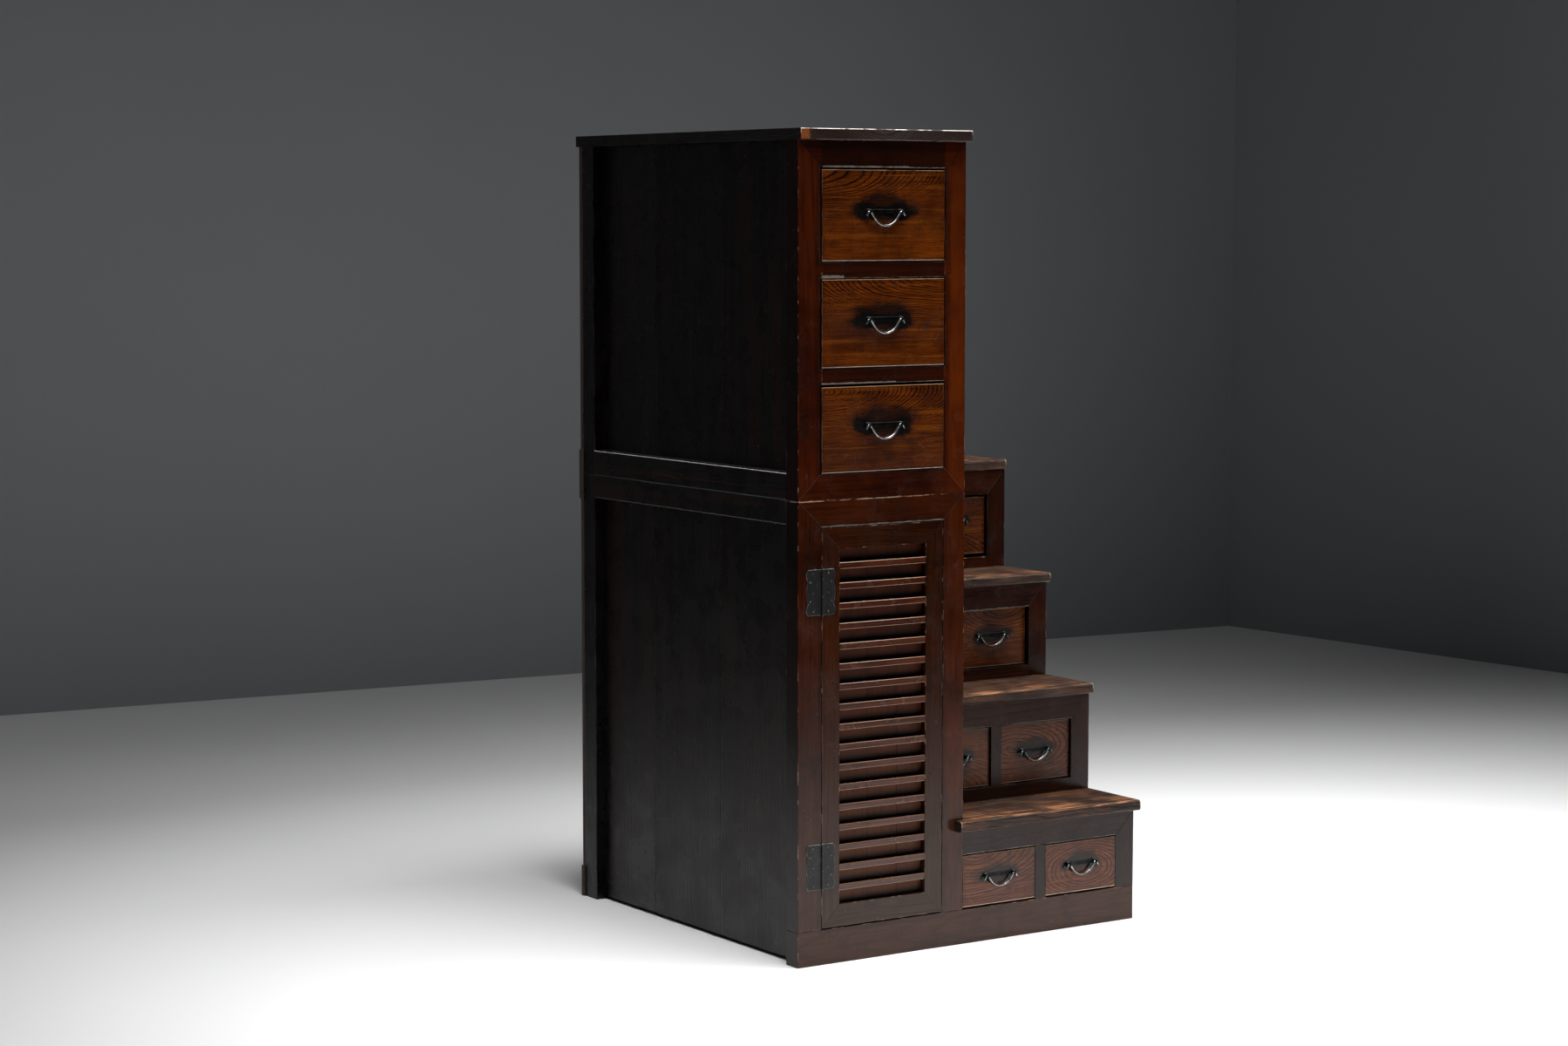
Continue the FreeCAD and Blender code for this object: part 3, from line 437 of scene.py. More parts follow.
def barred_wood(name):
    """The door's flat bars: brown faces, black tops as painted shade, a painted bright highlight on the
    top arris and a thin light one on the lower.
    """
    wood = Timber(name)
    wood.tone = wood.mix(wood.broken(10.0, 0.3, 0.7), (50, 20, 8), (74, 33, 14))
    # Painted reflection of the pale floor: paler towards the floor
    wood.cover((74, 52, 42), wood.fall(height_over_floor(wood), 0.05, 0.9), 0.9)
    wood.stain((130, 100, 84), wood.grain(300, 8, 0.4, 0.65, 0.5))
    wood.cover((24, 11, 6), wood.broken(22.0, 0.55, 0.75, 3.0), 0.4)
    # Painted shade: the bars' tops are black
    wood.cover((6, 4, 3), faces_up(wood), 0.92)
    # Painted highlight along each bar's top arris, whiter to the left and dimmer near the floor
    high_up = wood.ramp(height_over_floor(wood), 0.25, 0.8)
    top = wood.times(wood.line(wood.arris, 0.0013), wood.ramp(wood.across, 0.003, 0.005))
    bright = wood.mix(wood.ramp(from_middle(wood), -0.3, 0.0), (200, 170, 150), (160, 96, 54))
    bright = wood.mix(high_up, (118, 78, 56), bright)
    wood.cover(bright, top, wood.broken(30.0, 0.2, 0.42, 1.1))
    # A thin painted highlight along each bar's lower arris
    foot = wood.times(wood.line(wood.arris, 0.0016), wood.fall(wood.across, -0.005, -0.003))
    wood.cover((142, 104, 84), foot, 0.9)
    height = wood.noise(wood.stretch(wood.moved, (1, 1, 0.4)), 20.0, 2.0)
    height = wood.minus(height, wood.times(wood.pores, 0.3))
    return wood.finish(wood.gloss(0.12, 0.18), height, 0.00025, specular=0.31)


def bay_wood(name, first_head, pitch):
    """The boards behind the bars: brown, paler towards the floor as painted bounce light, and black
    with painted shadow just over each bar.
    """
    wood = Timber(name)
    height = height_over_floor(wood)
    wood.tone = wood.mix(wood.broken(10.0, 0.3, 0.7), (54, 22, 9), (76, 36, 17))
    # Painted bounce light from the floor: paler towards the floor
    wood.cover((90, 58, 42), wood.fall(height, 0.05, 0.9), 0.8)
    wood.stain((150, 118, 100), wood.grain(200, 5, 0.4, 0.7, 0.25))
    # Painted shadow: black just over each bar, where the bar below blocks the floor's light
    over_bar = wood.math("FRACT", wood.times(wood.minus(height, first_head), 1 / pitch))
    over_bar = wood.times(over_bar, pitch)
    wood.cover((6, 3, 2), wood.fall(over_bar, 0.002, 0.018, 0.96))
    wood.cover((12, 6, 4), wood.fall(wood.from_long_edge, 0.0, 0.0012, 0.4))
    height = wood.minus(1.0, wood.times(wood.pores, 0.4))
    return wood.finish(wood.gloss(0.12, 0.4), height, 0.0003, specular=0.1)


def oiled_wood(name, dark, light, worn, rail_head):
    """Near-black planks with faint red streaks, dark seams, scrapes, pale specks and a painted
    highlight on the rail.
    """
    wood = Timber(name)
    height = height_over_floor(wood)
    wood.tone = wood.mix(wood.grain(45, 1.4, 0.46, 0.7), dark, light)
    wood.cover((10, 8, 8), wood.cast, 0.35)
    wood.stain((120, 110, 105), wood.rings, 0.4)
    wood.stain((100, 90, 85), wood.open_pores(0.45, 0.75, 0.6))
    # Paler in streaks towards the floor, as painted reflection of the floor
    low = wood.fall(height, 0.0, 1.0)
    haze = wood.times(low, wood.ramp(wood.streaks(30, 1.6), 0.3, 0.7, 0.3, 1.0))
    wood.cover((24, 17, 14), haze, 0.5)
    knots = wood.noise(wood.stretch(wood.moved, (1, 1, 0.55)), 9.0, 3.0, 0.5)
    knots = wood.ramp(knots, 0.68, 0.74)
    wood.cover((4, 3, 3), knots, 0.6)
    seam = wood.fall(wood.from_long_edge, 0.001, 0.0026, 0.9)
    wood.cover((1, 1, 1), seam)
    beside = wood.absolute(wood.minus(wood.from_long_edge, 0.0035))
    beside = wood.times(wood.fall(beside, 0.0, 0.0012), wood.broken(9.0, 0.45, 0.65, 5.5))
    wood.cover((44, 34, 30), beside, 0.5)
    specks = wood.ramp(wood.noise(wood.moved, 210.0, 2.0, 0.5), 0.765, 0.79)
    wood.cover((90, 82, 76), specks, 0.6)
    scrapes = wood.grain(260, 36, 0.7, 0.76, detail=2.0)
    scrapes = wood.times(scrapes, wood.broken(5.0, 0.55, 0.66, 4.4))
    wood.cover((92, 46, 26), scrapes, 0.7)
    wood.cover(worn, wood.worn(0.0028, 70.0, 0.5, 0.62), 0.7)
    # Painted highlight along the rail's top arris
    rail_highlight = wood.fall(wood.absolute(wood.minus(height, rail_head)), 0.0006, 0.0018)
    rail_highlight = wood.times(rail_highlight, wood.line(wood.arris, 0.0022))
    wood.cover((206, 200, 196), rail_highlight, wood.broken(16.0, 0.25, 0.4, 2.8))
    roughness = wood.plus(wood.times(wood.broken(14.0, 0.3, 0.7, 5.0), 0.2), 0.2)
    relief = wood.relief(0.6, 0.4)
    relief = wood.plus(relief, wood.times(wood.streaks(30, 2), 1.5))
    relief = wood.minus(relief, wood.times(seam, 2.0))
    return wood.finish(roughness, relief, 0.0004, specular=0.28)


def figured_wood(name, dark, light, line_tone, reach_beside, reach_above):
    """Orange-brown drawer fronts with bold rings, soot round the bail and a painted shadow under it;
    raw wood behind them.

    The reaches say how far the soot spreads from the middle of the bail's plate.
    """
    wood = Timber(name)
    wood.tone = wood.mix(wood.broken(7.0, 0.3, 0.7), dark, light)
    # Painted reflection of the floor: paler towards the floor
    wood.cover((100, 57, 36), wood.fall(height_over_floor(wood), 0.1, 0.7), 0.8)
    wood.stain(line_tone, wood.rings)
    wood.stain((160, 132, 116), wood.grain(420, 9, 0.38, 0.66, 0.6))
    wood.cover((122, 66, 12), wood.grain(150, 3.5, 0.54, 0.7), 0.45)
    wood.stain((118, 90, 74), wood.open_pores(0.46, 0.72, 0.8))
    blotch = wood.times(wood.broken(26.0, 0.52, 0.68, 7.0), wood.broken(6.0, 0.4, 0.6, 2.0))
    wood.cover((34, 15, 6), blotch, 0.5)
    beside, above, front = wood.split(wood.read("from_bail"))
    ragged = wood.noise(wood.stretch(wood.moved, (1, 1, 0.5)), 30.0, 4.0, 0.62)
    ragged = wood.minus(ragged, 0.5)

    def patch(right, up, half_wide, half_high):
        wide = wood.math("POWER", wood.times(right, 1 / half_wide), 2.0)
        tall = wood.math("POWER", wood.times(wood.minus(above, up), 1 / half_high), 2.0)
        return wood.plus(wood.math("SQRT", wood.plus(wide, tall)), wood.times(ragged, 1.7))

    from_stud = wood.minus(wood.absolute(beside), reach_beside * 0.62)
    smoked = patch(beside, reach_above * 0.25, reach_beside * 1.06, reach_above * 1.08)
    wood.cover((24, 9, 5), wood.fall(smoked, 0.7, 1.35, 0.92))
    # Painted shadow of the bail, round its lowest part
    bail_shadow = patch(beside, -reach_above * 1.2, reach_beside * 0.4, reach_above * 0.5)
    wood.cover((36, 14, 6), wood.fall(bail_shadow, 0.4, 1.3, 0.5))
    black = patch(from_stud, -reach_above * 0.05, reach_beside * 0.42, reach_above * 0.8)
    wood.cover((5, 4, 4), wood.fall(black, 0.6, 1.2, 0.97))
    behind_plate = patch(beside, 0.0, reach_beside * 0.75, reach_above * 0.38)
    wood.cover((5, 4, 4), wood.fall(behind_plate, 0.7, 1.2, 0.95))
    edge = wood.times(wood.fall(wood.arris, 0.001, 0.012), wood.broken(30.0, 0.35, 0.65, 4.0))
    wood.cover((30, 14, 8), edge, 0.5)
    bright = wood.mix(wood.ramp(wood.across, -0.01, 0.01), (214, 196, 178), (158, 120, 88))
    lit = wood.times(wood.line(wood.from_long_edge, 0.0016), wood.broken(18.0, 0.2, 0.5, 1.4))
    wood.cover(bright, lit, 0.95)
    ends = wood.times(wood.line(wood.from_end, 0.0011), wood.broken(26.0, 0.4, 0.6, 2.6))
    wood.cover((150, 104, 72), ends, 0.5)
    raw = wood.mix(wood.rings, (150, 116, 80), (126, 92, 60))
    raw = wood.blend("MULTIPLY", wood.open_pores(0.45, 0.75, 0.5), raw, (150, 130, 110))
    wood.tone = wood.mix(front, raw, wood.tone)
    roughness = wood.gloss(0.1, 0.2)
    roughness = wood.plus(wood.times(roughness, front), wood.times(wood.minus(1.0, front), 0.7))
    return wood.finish(roughness, wood.relief(0.5, 0.4), 0.0002, specular=0.27)


def rough_wood(name, dark, light, worn, pale, to_front=0, line_tone=(208, 184, 162), face=None):
    """Treads and top: dark, open grained, with pale broken front arrises.

    To_front is the axis that leads away from the front edge: 0 across the board, 2 along it.
    """
    wood = Timber(name)
    wood.tone = wood.mix(wood.broken(9.0, 0.35, 0.7), dark, light)
    wood.stain((130, 108, 92), wood.rings, 0.6)
    wood.stain((110, 86, 72), wood.grain(380, 7, 0.4, 0.64, 0.8))
    wood.stain((96, 78, 66), wood.open_pores(0.4, 0.7, 0.9))
    wood.cover(pale, wood.grain(300, 60, 0.66, 0.73, 0.5, 2.0))
    from_front = wood.plus(wood.split(wood.place)[to_front], wood.split(wood.half)[to_front])
    if face:
        ragged = wood.times(wood.streaks(60, 60), 0.03)
        patch = wood.fall(wood.plus(from_middle(wood), ragged), -0.42, -0.41)
        diagonal = wood.noise(wood.stretch(wood.moved, (160, 420, 40)), 1.0, 3.0)
        front_tone = wood.mix(wood.ramp(diagonal, 0.4, 0.62), (12, 5, 3), face)
        front_tone = wood.mix(wood.times(patch, 0.9), front_tone, (128, 66, 22))
        wood.cover(front_tone, wood.fall(from_front, 0.0003, 0.0012))
    near_front = wood.times(wood.ramp(from_front, 0.0, 0.09, 1.0, 0.1), faces_up(wood))
    rubbed = wood.times(wood.grain(170, 9, 0.46, 0.6), wood.broken(11.0, 0.42, 0.62, 4.0))
    wood.cover(worn, wood.times(near_front, rubbed), 0.8)
    ends = wood.fall(wood.from_end if to_front == 0 else wood.from_long_edge, 0.0004, 0.0012)
    wood.cover((12, 8, 6), ends, 0.85)
    # Pale broken front arris: worn chips, painted bright as a highlight that is strongest on the upper
    # arris
    head = wood.times(wood.line(wood.arris, 0.0022), wood.fall(from_front, 0.004, 0.008))
    kept = wood.times(wood.broken(26.0, 0.4, 0.52, 2.0), wood.minus(1.0, wood.times(ends, 0.9)))
    head = wood.times(head, kept)
    wood.cover(line_tone, head, wood.ramp(wood.thin, -0.004, 0.004, 0.25, 1.0))
    height = wood.relief(1.0, 0.8)
    height = wood.plus(height, wood.times(wood.noise(wood.moved, 30.0, 4.0), 1.2))
    return wood.finish(wood.gloss(0.2, 0.36), height, 0.0010, specular=0.22)


def raw_wood(name, dark, light):
    """Unfinished boards that only show from behind or inside."""
    wood = Timber(name)
    wood.tone = wood.mix(wood.broken(8.0, 0.3, 0.7), dark, light)
    wood.stain((160, 136, 116), wood.rings, 0.6)
    wood.stain((140, 120, 104), wood.open_pores(0.42, 0.74, 0.7))
    wood.cover((52, 40, 32), wood.fall(wood.arris, 0.0, 0.02), 0.4)
    return wood.finish(wood.plus(wood.times(wood.pores, 0.2), 0.62), wood.relief(0.8, 0.6), 0.0008)


def forged_iron(name, dark, light, smooth, metallic=0.9, lit_head=False):
    """Black iron with a rubbed sheen and a little brown rust."""
    shade = Shade(name)
    place = own_place(shade)
    grain = shade.noise(place, 900.0, 4.0, 0.6)
    streak = shade.noise(shade.stretch(place, (1, 1, 0.12)), 320.0, 3.0)
    shade.tone = shade.mix(shade.ramp(shade.noise(place, 90.0, 4.0, 0.6), 0.4, 0.7), dark, light)
    shade.stain((120, 120, 118), shade.ramp(streak, 0.4, 0.66, 0.0, 0.7))
    shade.cover((44, 30, 24), shade.ramp(shade.noise(place, 140.0, 3.0, 0.6), 0.6, 0.72), 0.35)
    if lit_head:
        half, middle = shade.read("board_half"), shade.read("board_place")
        from_head = shade.minus(shade.split(half)[0], shade.split(middle)[0])
        shade.cover((170, 170, 164), shade.fall(from_head, 0.0004, 0.0012, 0.9))
    roughness = shade.plus(shade.times(grain, 0.16), smooth)
    height = shade.plus(grain, shade.times(shade.noise(place, 160.0, 2.0), 1.5))
    return shade.finish(roughness, height, 0.00012, metallic=metallic)


# How wide the arrises are rounded, how far apart boards are moved, and how near corners are welded
WOOD_ARRIS = 0.0009
PLATE_ARRIS = 0.0003
BOARD_SHIFT = 2.0
WELD_REACH = 0.00003


def soften_arrises(node, width):
    """Round a node's arrises a little; boards that touch are moved apart first, to weld each alone."""
    group = bpy.data.node_groups.get("weld_each_board") or weld_group()
    weld = nodes[node].modifiers.new("weld_each_board", "NODES")
    weld.node_group = group
    bevel = nodes[node].modifiers.new("arrises", "BEVEL")
    bevel.width = width
    bevel.segments = 2
    bevel.limit_method = "ANGLE"
    bevel.angle_limit = math.radians(30)


def weld_group():
    group = bpy.data.node_groups.new("weld_each_board", "GeometryNodeTree")
    group.interface.new_socket("Geometry", in_out="INPUT", socket_type="NodeSocketGeometry")
    group.interface.new_socket("Geometry", in_out="OUTPUT", socket_type="NodeSocketGeometry")
    start = group.nodes.new("NodeGroupInput")
    end = group.nodes.new("NodeGroupOutput")
    number = group.nodes.new("GeometryNodeInputNamedAttribute")
    number.data_type = "FLOAT_VECTOR"
    number.inputs["Name"].default_value = "board_number"
    normals = group.nodes.new("GeometryNodeRemoveAttribute")
    normals.inputs["Name"].default_value = "custom_normal"
    steps = []
    for shift in (BOARD_SHIFT, -BOARD_SHIFT):
        offset = group.nodes.new("ShaderNodeVectorMath")
        offset.operation = "SCALE"
        offset.inputs["Scale"].default_value = shift
        group.links.new(number.outputs["Attribute"], offset.inputs[0])
        move = group.nodes.new("GeometryNodeSetPosition")
        group.links.new(offset.outputs[0], move.inputs["Offset"])
        steps.append(move)
    weld = group.nodes.new("GeometryNodeMergeByDistance")
    weld.inputs["Distance"].default_value = WELD_REACH
    flat = group.nodes.new("GeometryNodeSetShadeSmooth")
    flat.inputs["Shade Smooth"].default_value = False
    chain = [start, normals, steps[0], weld, steps[1], flat, end]
    for first, second in zip(chain, chain[1:]):
        group.links.new(first.outputs[0], second.inputs[0])
    return group


def paint(names, material):
    for name in names:
        for slot in nodes[name].material_slots:
            slot.link = "DATA"
            slot.material = material


# How deep behind its face a drawer front still counts as shown
SHOWN_DEPTH = 0.009


def write_front(name, front):
    """Give a drawer's corners their place from the bail, and 1 where they are on the shown face."""
    mesh = nodes["drawer_" + name].data
    low_plate, high_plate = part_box("handle_" + name)
    middle = (low_plate + high_plate) / 2
    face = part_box("drawer_" + name)[0].y
    values = [(1.0, 1.0, 0.0)] * len(mesh.vertices)
    for i in front.corners:
        corner = mesh.vertices[i].co
        shown = 1.0 if corner.y < face + SHOWN_DEPTH else 0.0
        values[i] = (corner.x - middle.x, corner.z - middle.z, shown)
    write_layer(mesh, "from_bail", values)


BOARDS = {}
for name in nodes:
    kind, _, drawer = name.partition("_")
    BOARDS[name] = write_boards(name, FRONT_FIGURES.get(drawer) if kind == "drawer" else None)
    if kind == "drawer" and drawer in DRAWERS:
        write_front(drawer, BOARDS[name][0])

STEP_FRAMES = ["step_frame_%d" % step for step in STEPS]
SIDE_NODES = ["lower_left_planks", "lower_side_frames", "upper_side_walls", "step_side_planks",
              "partition_boards"]
TREADS = ["tread_%d" % step for step in STEPS]

# Boxes of the front: gaps round the drawers painted black as shade, light chips over them, rails in
# painted shade, one warm stile
UPPER_BOXES = [front_box("drawer_" + name) for name in UPPER_DRAWERS]
UPPER_TOP_GAPS = (0.0055, 0.0015, 0.0035)
UPPER_GAPS = [gap_round(box, 0.0048, 0.0012, gap) for box, gap in zip(UPPER_BOXES, UPPER_TOP_GAPS)]
UPPER_CHIPS = [over(UPPER_BOXES[0], 0.0062, 0.0074, 0.7), over(UPPER_BOXES[0], 0.0035, 0.0050),
               over(UPPER_BOXES[1], 0.0018, 0.0080, 0.17), over(UPPER_BOXES[1], 0.0012, 0.0026),
               over(UPPER_BOXES[2], 0.0040, 0.0062), over(UPPER_BOXES[2], 0.0040, 0.0085, 0.6)]
STEP_BOXES = [front_box("drawer_" + name) for name in STEP_DRAWERS]
STEP_GAPS = [gap_round(box, 0.0025, 0.001, 0.002) for box in STEP_BOXES]
UPPER_FRAME = front_box("upper_front_frame")
RAIL_HEADS = (UPPER_FRAME[3], UPPER_BOXES[0][2], UPPER_BOXES[1][2])
SHADED_RAILS = [(box[0], box[1], box[3] + 0.006, head) for box, head in zip(UPPER_BOXES, RAIL_HEADS)]
WARM_STILE = (UPPER_BOXES[0][1] + 0.014, UPPER_FRAME[1], UPPER_FRAME[2], UPPER_FRAME[3] - 0.05)
DOOR_BOX = front_box("door_frame")
LOWER_FRAME = front_box("cupboard_front_frame")
SEAM = (LOWER_FRAME[0], LOWER_FRAME[1], LOWER_FRAME[3] - 0.0016, LOWER_FRAME[3])

paint(["upper_front_frame"],
      lacquered_wood("upper_lacquer", (33, 8, 2), (78, 28, 3), (52, 22, 8), (110, 52, 24), UPPER_GAPS,
                     UPPER_CHIPS, shaded=SHADED_RAILS, warm=[WARM_STILE], black_sides=True))
paint(["cupboard_front_frame", "base_sills"],
      lacquered_wood("cupboard_lacquer", (34, 10, 1), (70, 27, 5), (60, 34, 20), (120, 66, 36),
                     [DOOR_BOX], [over(DOOR_BOX, 0.0016, 0.0032)], [SEAM], black_sides=True))
paint(STEP_FRAMES,
      lacquered_wood("step_lacquer", (30, 11, 5), (60, 24, 9), (34, 20, 13), (110, 66, 42), STEP_GAPS,
                     [over(box, 0.002, 0.0035) for box in STEP_BOXES]))
paint(["door_frame"],
      lacquered_wood("door_lacquer", (30, 10, 1), (58, 24, 5), (54, 36, 24), (130, 76, 44)))
paint(["door_bars"], barred_wood("bar_lacquer"))
bars = sorted(BOARDS["door_bars"], key=lambda bar: bar.middle.z)
BAR_PITCH = (bars[-1].middle.z - bars[0].middle.z) / (len(bars) - 1)
paint(["door_boards"], bay_wood("bay_boards", bars[0].middle.z + bars[0].half.z, BAR_PITCH))
RAIL_HEAD = min(board.middle.z + board.half.z for board in BOARDS["upper_side_walls"])
paint(SIDE_NODES, oiled_wood("side_black", (7, 4, 4), (28, 9, 5), (60, 50, 44), RAIL_HEAD))
paint(["top_board"],
      rough_wood("top_dark", (8, 5, 4), (18, 10, 7), (60, 34, 16), (50, 34, 24), to_front=2,
                 line_tone=(226, 214, 204), face=(42, 17, 7)))
paint(TREADS, rough_wood("tread_brown", (46, 29, 19), (92, 60, 40), (176, 120, 80), (124, 90, 68)))
paint(["drawer_" + name for name in UPPER_DRAWERS],
      figured_wood("upper_keyaki", (70, 27, 2), (108, 51, 5), (86, 54, 36),
                   reach_beside=0.078, reach_above=0.027))
paint(["drawer_" + name for name in STEP_DRAWERS],
      figured_wood("step_keyaki", (84, 37, 6), (116, 62, 16), (124, 98, 84),
                   reach_beside=0.052, reach_above=0.019))
paint(["back_boards", "rear_rails"], raw_wood("back_raw", (48, 34, 25), (68, 48, 34)))
paint(["floor_boards", "cupboard_shelves", "drawer_runners"],
      raw_wood("inner_raw", (128, 98, 68), (156, 122, 86)))
iron = forged_iron("black_iron", (120, 122, 122), (176, 176, 174), 0.16)
plate_iron = forged_iron("plate_iron", (22, 23, 23), (40, 42, 42), 0.26, lit_head=True)
hinge_iron = forged_iron("hinge_iron", (14, 16, 15), (30, 33, 31), 0.3, metallic=0.4)
rubbed_iron = forged_iron("rubbed_iron", (84, 86, 82), (130, 132, 126), 0.34)
paint([name for name in nodes if name.startswith("handle_")], plate_iron)

for name in nodes:
    if name.startswith("handle_"):
        soften_arrises(name, PLATE_ARRIS)
    elif not name.startswith(("bail_", "hinge_")):
        soften_arrises(name, WOOD_ARRIS)


def mesh_object(name, points, faces):
    mesh = bpy.data.meshes.new(name)
    mesh.from_pydata(points, [], faces)
    item = bpy.data.objects.new(name, mesh)
    bpy.context.scene.collection.objects.link(item)
    return item


class Forging:
    """A mesh put together from rings of points, with a material number for each face."""

    def __init__(self):
        self.points = []
        self.faces = []
        self.looks = []

    def ring(self, places):
        start = len(self.points)
        self.points.extend(places)
        return list(range(start, len(self.points)))

    def wall(self, first, second, look=0):
        count = len(first)
        for index in range(count):
            following = (index + 1) % count
            self.faces.append((first[index], first[following], second[following], second[index]))
            self.looks.append(look)

    def cap(self, ring, look=0):
        self.faces.append(tuple(ring))
        self.looks.append(look)

    def build(self, name, materials, body, replaced):
        item = mesh_object(name, self.points, self.faces)
        for material in materials:
            item.data.materials.append(material)
        item.data.polygons.foreach_set("material_index", self.looks)
        item.data.validate()
        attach(item, body)
        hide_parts(replaced)


def circle(radius, sides):
    """Points round a circle, as pairs."""
    turns = (2 * math.pi * step / sides for step in range(sides))
    return [(radius * math.cos(turn), radius * math.sin(turn)) for turn in turns]


def between(start, end, shares):
    """Points on the straight way from start to end."""
    return [(start[0] + (end[0] - start[0]) * share, start[1] + (end[1] - start[1]) * share)
            for share in shares]


# A bail's rod, the hump over its eye, the slopes of its sides and of its tails, and the tails' length
ROD = 0.0024
ROD_SIDES = 14
HUMP = 0.005
SLOPE = math.radians(54)
TAIL_SLOPE = math.radians(60)
TAIL = 0.007
HUMP_STEPS = 12
ARC_STEPS = 40
# How far a bail leans out at rest, the half width that parts wide and narrow ones, and their drops
LEAN = math.radians(3)
WIDE_HALF = 0.039
WIDE_DROP = 0.029
NARROW_DROP = 0.024
# The rod's thickness at its tips, what it gains from there, and over how many points
TIP_SHARE = 0.62
GAINED_SHARE = 0.36
GAIN_POINTS = 5


def bail_path(half, drop):
    """The middle line of a bail in its own plane: tail, hump over the eye, straight, arc, and back."""
    radius = (half * math.sin(SLOPE) - drop * math.cos(SLOPE)) / (1 - math.cos(SLOPE)) - HUMP
    foot = (-half - HUMP * math.sin(TAIL_SLOPE), -HUMP + HUMP * math.cos(TAIL_SLOPE))
    tip = (foot[0] - TAIL * math.cos(TAIL_SLOPE), foot[1] - TAIL * math.sin(TAIL_SLOPE))
    left = between(foot, tip, (1.0, 0.8, 0.5, 0.2))
    for step in range(HUMP_STEPS + 1):
        angle = -TAIL_SLOPE + (SLOPE + TAIL_SLOPE) * step / HUMP_STEPS
        left.append((-half + HUMP * math.sin(angle), -HUMP + HUMP * math.cos(angle)))
    arc = [(radius * math.sin(angle), radius - drop - radius * math.cos(angle))
           for angle in (SLOPE * (2 * step / ARC_STEPS - 1) for step in range(ARC_STEPS + 1))]
    left += between(left[-1], arc[0], (0.25, 0.5, 0.75))
    return left + arc + [(-x, z) for x, z in reversed(left)]


def build_bail(name):
    """A smooth forged rod, thinner towards its tails, that hangs in the drawer's eyes."""
    low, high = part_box("bail_" + name)
    middle = Vector(((low.x + high.x) / 2, (low.y + high.y) / 2, high.z - ROD * math.cos(LEAN)))
    tail_end = HUMP * math.sin(TAIL_SLOPE) + TAIL * math.cos(TAIL_SLOPE)
    half = (high.x - low.x) / 2 - tail_end - ROD * math.sin(TAIL_SLOPE)
    # The eyes stand at whole millimetres
    half = round(half * 1000) / 1000
    path = bail_path(half, WIDE_DROP if half > WIDE_HALF else NARROW_DROP)
    last = len(path) - 1
    across = Vector((0, 1, 0))
    rod = Forging()
    rings = []
    for index, (x, z) in enumerate(path):
        before = path[max(index - 1, 0)]
        after = path[min(index + 1, last)]
        up = Vector((after[0] - before[0], 0, after[1] - before[1])).normalized().cross(across)
        gained = min(min(index, last - index) / GAIN_POINTS, 1.0)
        radius = ROD * (TIP_SHARE + GAINED_SHARE * gained)
        place = middle + Vector((x, 0, z))
        rings.append(rod.ring([place + across * out + up * rise
                               for out, rise in circle(radius, ROD_SIDES)]))
    for first, second in zip(rings, rings[1:]):
        rod.wall(first, second)
    rod.cap(list(reversed(rings[0])))
    rod.cap(rings[-1])
    item = mesh_object("rod_" + name, rod.points, rod.faces)
    item.data.shade_smooth()
    item.data.materials.append(iron)
    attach(item, "bail_" + name)
    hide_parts("bail_" + name)


for name in DRAWERS:
    build_bail(name)


# A hinge's height, its post leaf's width, its leaves' thickness and their gap to the knuckles
HINGE_HIGH = 0.097
POST_LEAF_WIDE = 0.040
LEAF_THICK = 0.0015
LEAF_GAP = 0.0003
# The leaves' lobes: how deep and how high the small ones are, the points along each, and the widths
# of the soft and the rubbed rim
LOBE_DEPTH = 0.005
SMALL_LOBE = 0.024
LOBE_STEPS = 12
SOFT_RIM = 0.0004
RUBBED_RIM = 0.0009
# The knuckles: radius, depth behind the leaves' faces, where they meet below the head, their air and
# their sides; then the pin's radius and how far it stands out
KNUCKLE = 0.0025
KNUCKLE_SINK = 0.001
KNUCKLE_SEAMS = (0.0578, 0.0208)
KNUCKLE_AIR = 0.00015
KNUCKLE_SIDES = 20
PIN = 0.0012
PIN_STAND = 0.003
# Where the nails stand down a leaf and in from its edge, and a nail head's radii and rises
NAIL_HEIGHTS = (0.08, 0.27, 0.51, 0.69, 0.91)
NAIL_INSETS = (0.018, 0.0105)
NAIL_RINGS = ((0.0021, 0.0), (0.0019, 0.0005), (0.0012, 0.0009), (0.0005, 0.001))
NAIL_SIDES = 12


def lobed_outline(outer, inner, foot, head, side):
    """The corners of a leaf, from its inner foot round its outer lobes to its inner head."""
    corners = [(inner, foot)]
    low = foot
    for chord in (SMALL_LOBE, head - foot - 2 * SMALL_LOBE, SMALL_LOBE):
        radius = (chord * chord / 4 + LOBE_DEPTH * LOBE_DEPTH) / (2 * LOBE_DEPTH)
        reach = math.asin(chord / 2 / radius)
        for step in range(LOBE_STEPS + 1):
            angle = reach * (2 * step / LOBE_STEPS - 1)
            corners.append((outer - side * (radius - radius * math.cos(angle)),
                            low + chord / 2 + radius * math.sin(angle)))
        low += chord
    corners.append((inner, head))
    return corners


def inset(corners, width):
    """Draw a closed outline in towards its own middle by a steady width."""
    following = corners[1:] + corners[:1]
    area = sum(here[0] * after[1] - after[0] * here[1] for here, after in zip(corners, following))
    turn = 1 if area > 0 else -1
    drawn = []
    for index, ((x, z), after) in enumerate(zip(corners, following)):
        before = corners[index - 1]
        first = Vector((x - before[0], z - before[1]))
        second = Vector((after[0] - x, after[1] - z))
        # Two corners in one place take their neighbours' direction
        if first.length < 1e-9:
            first = second
        if second.length < 1e-9:
            second = first
        first.normalize()
        second.normalize()
        inward = Vector((-(first.y + second.y), first.x + second.x)) * turn
        inward.normalize()
        stretch = max(inward.dot(Vector((-first.y, first.x)) * turn), 0.5)
        drawn.append((x + inward.x * width / stretch, z + inward.y * width / stretch))
    return drawn


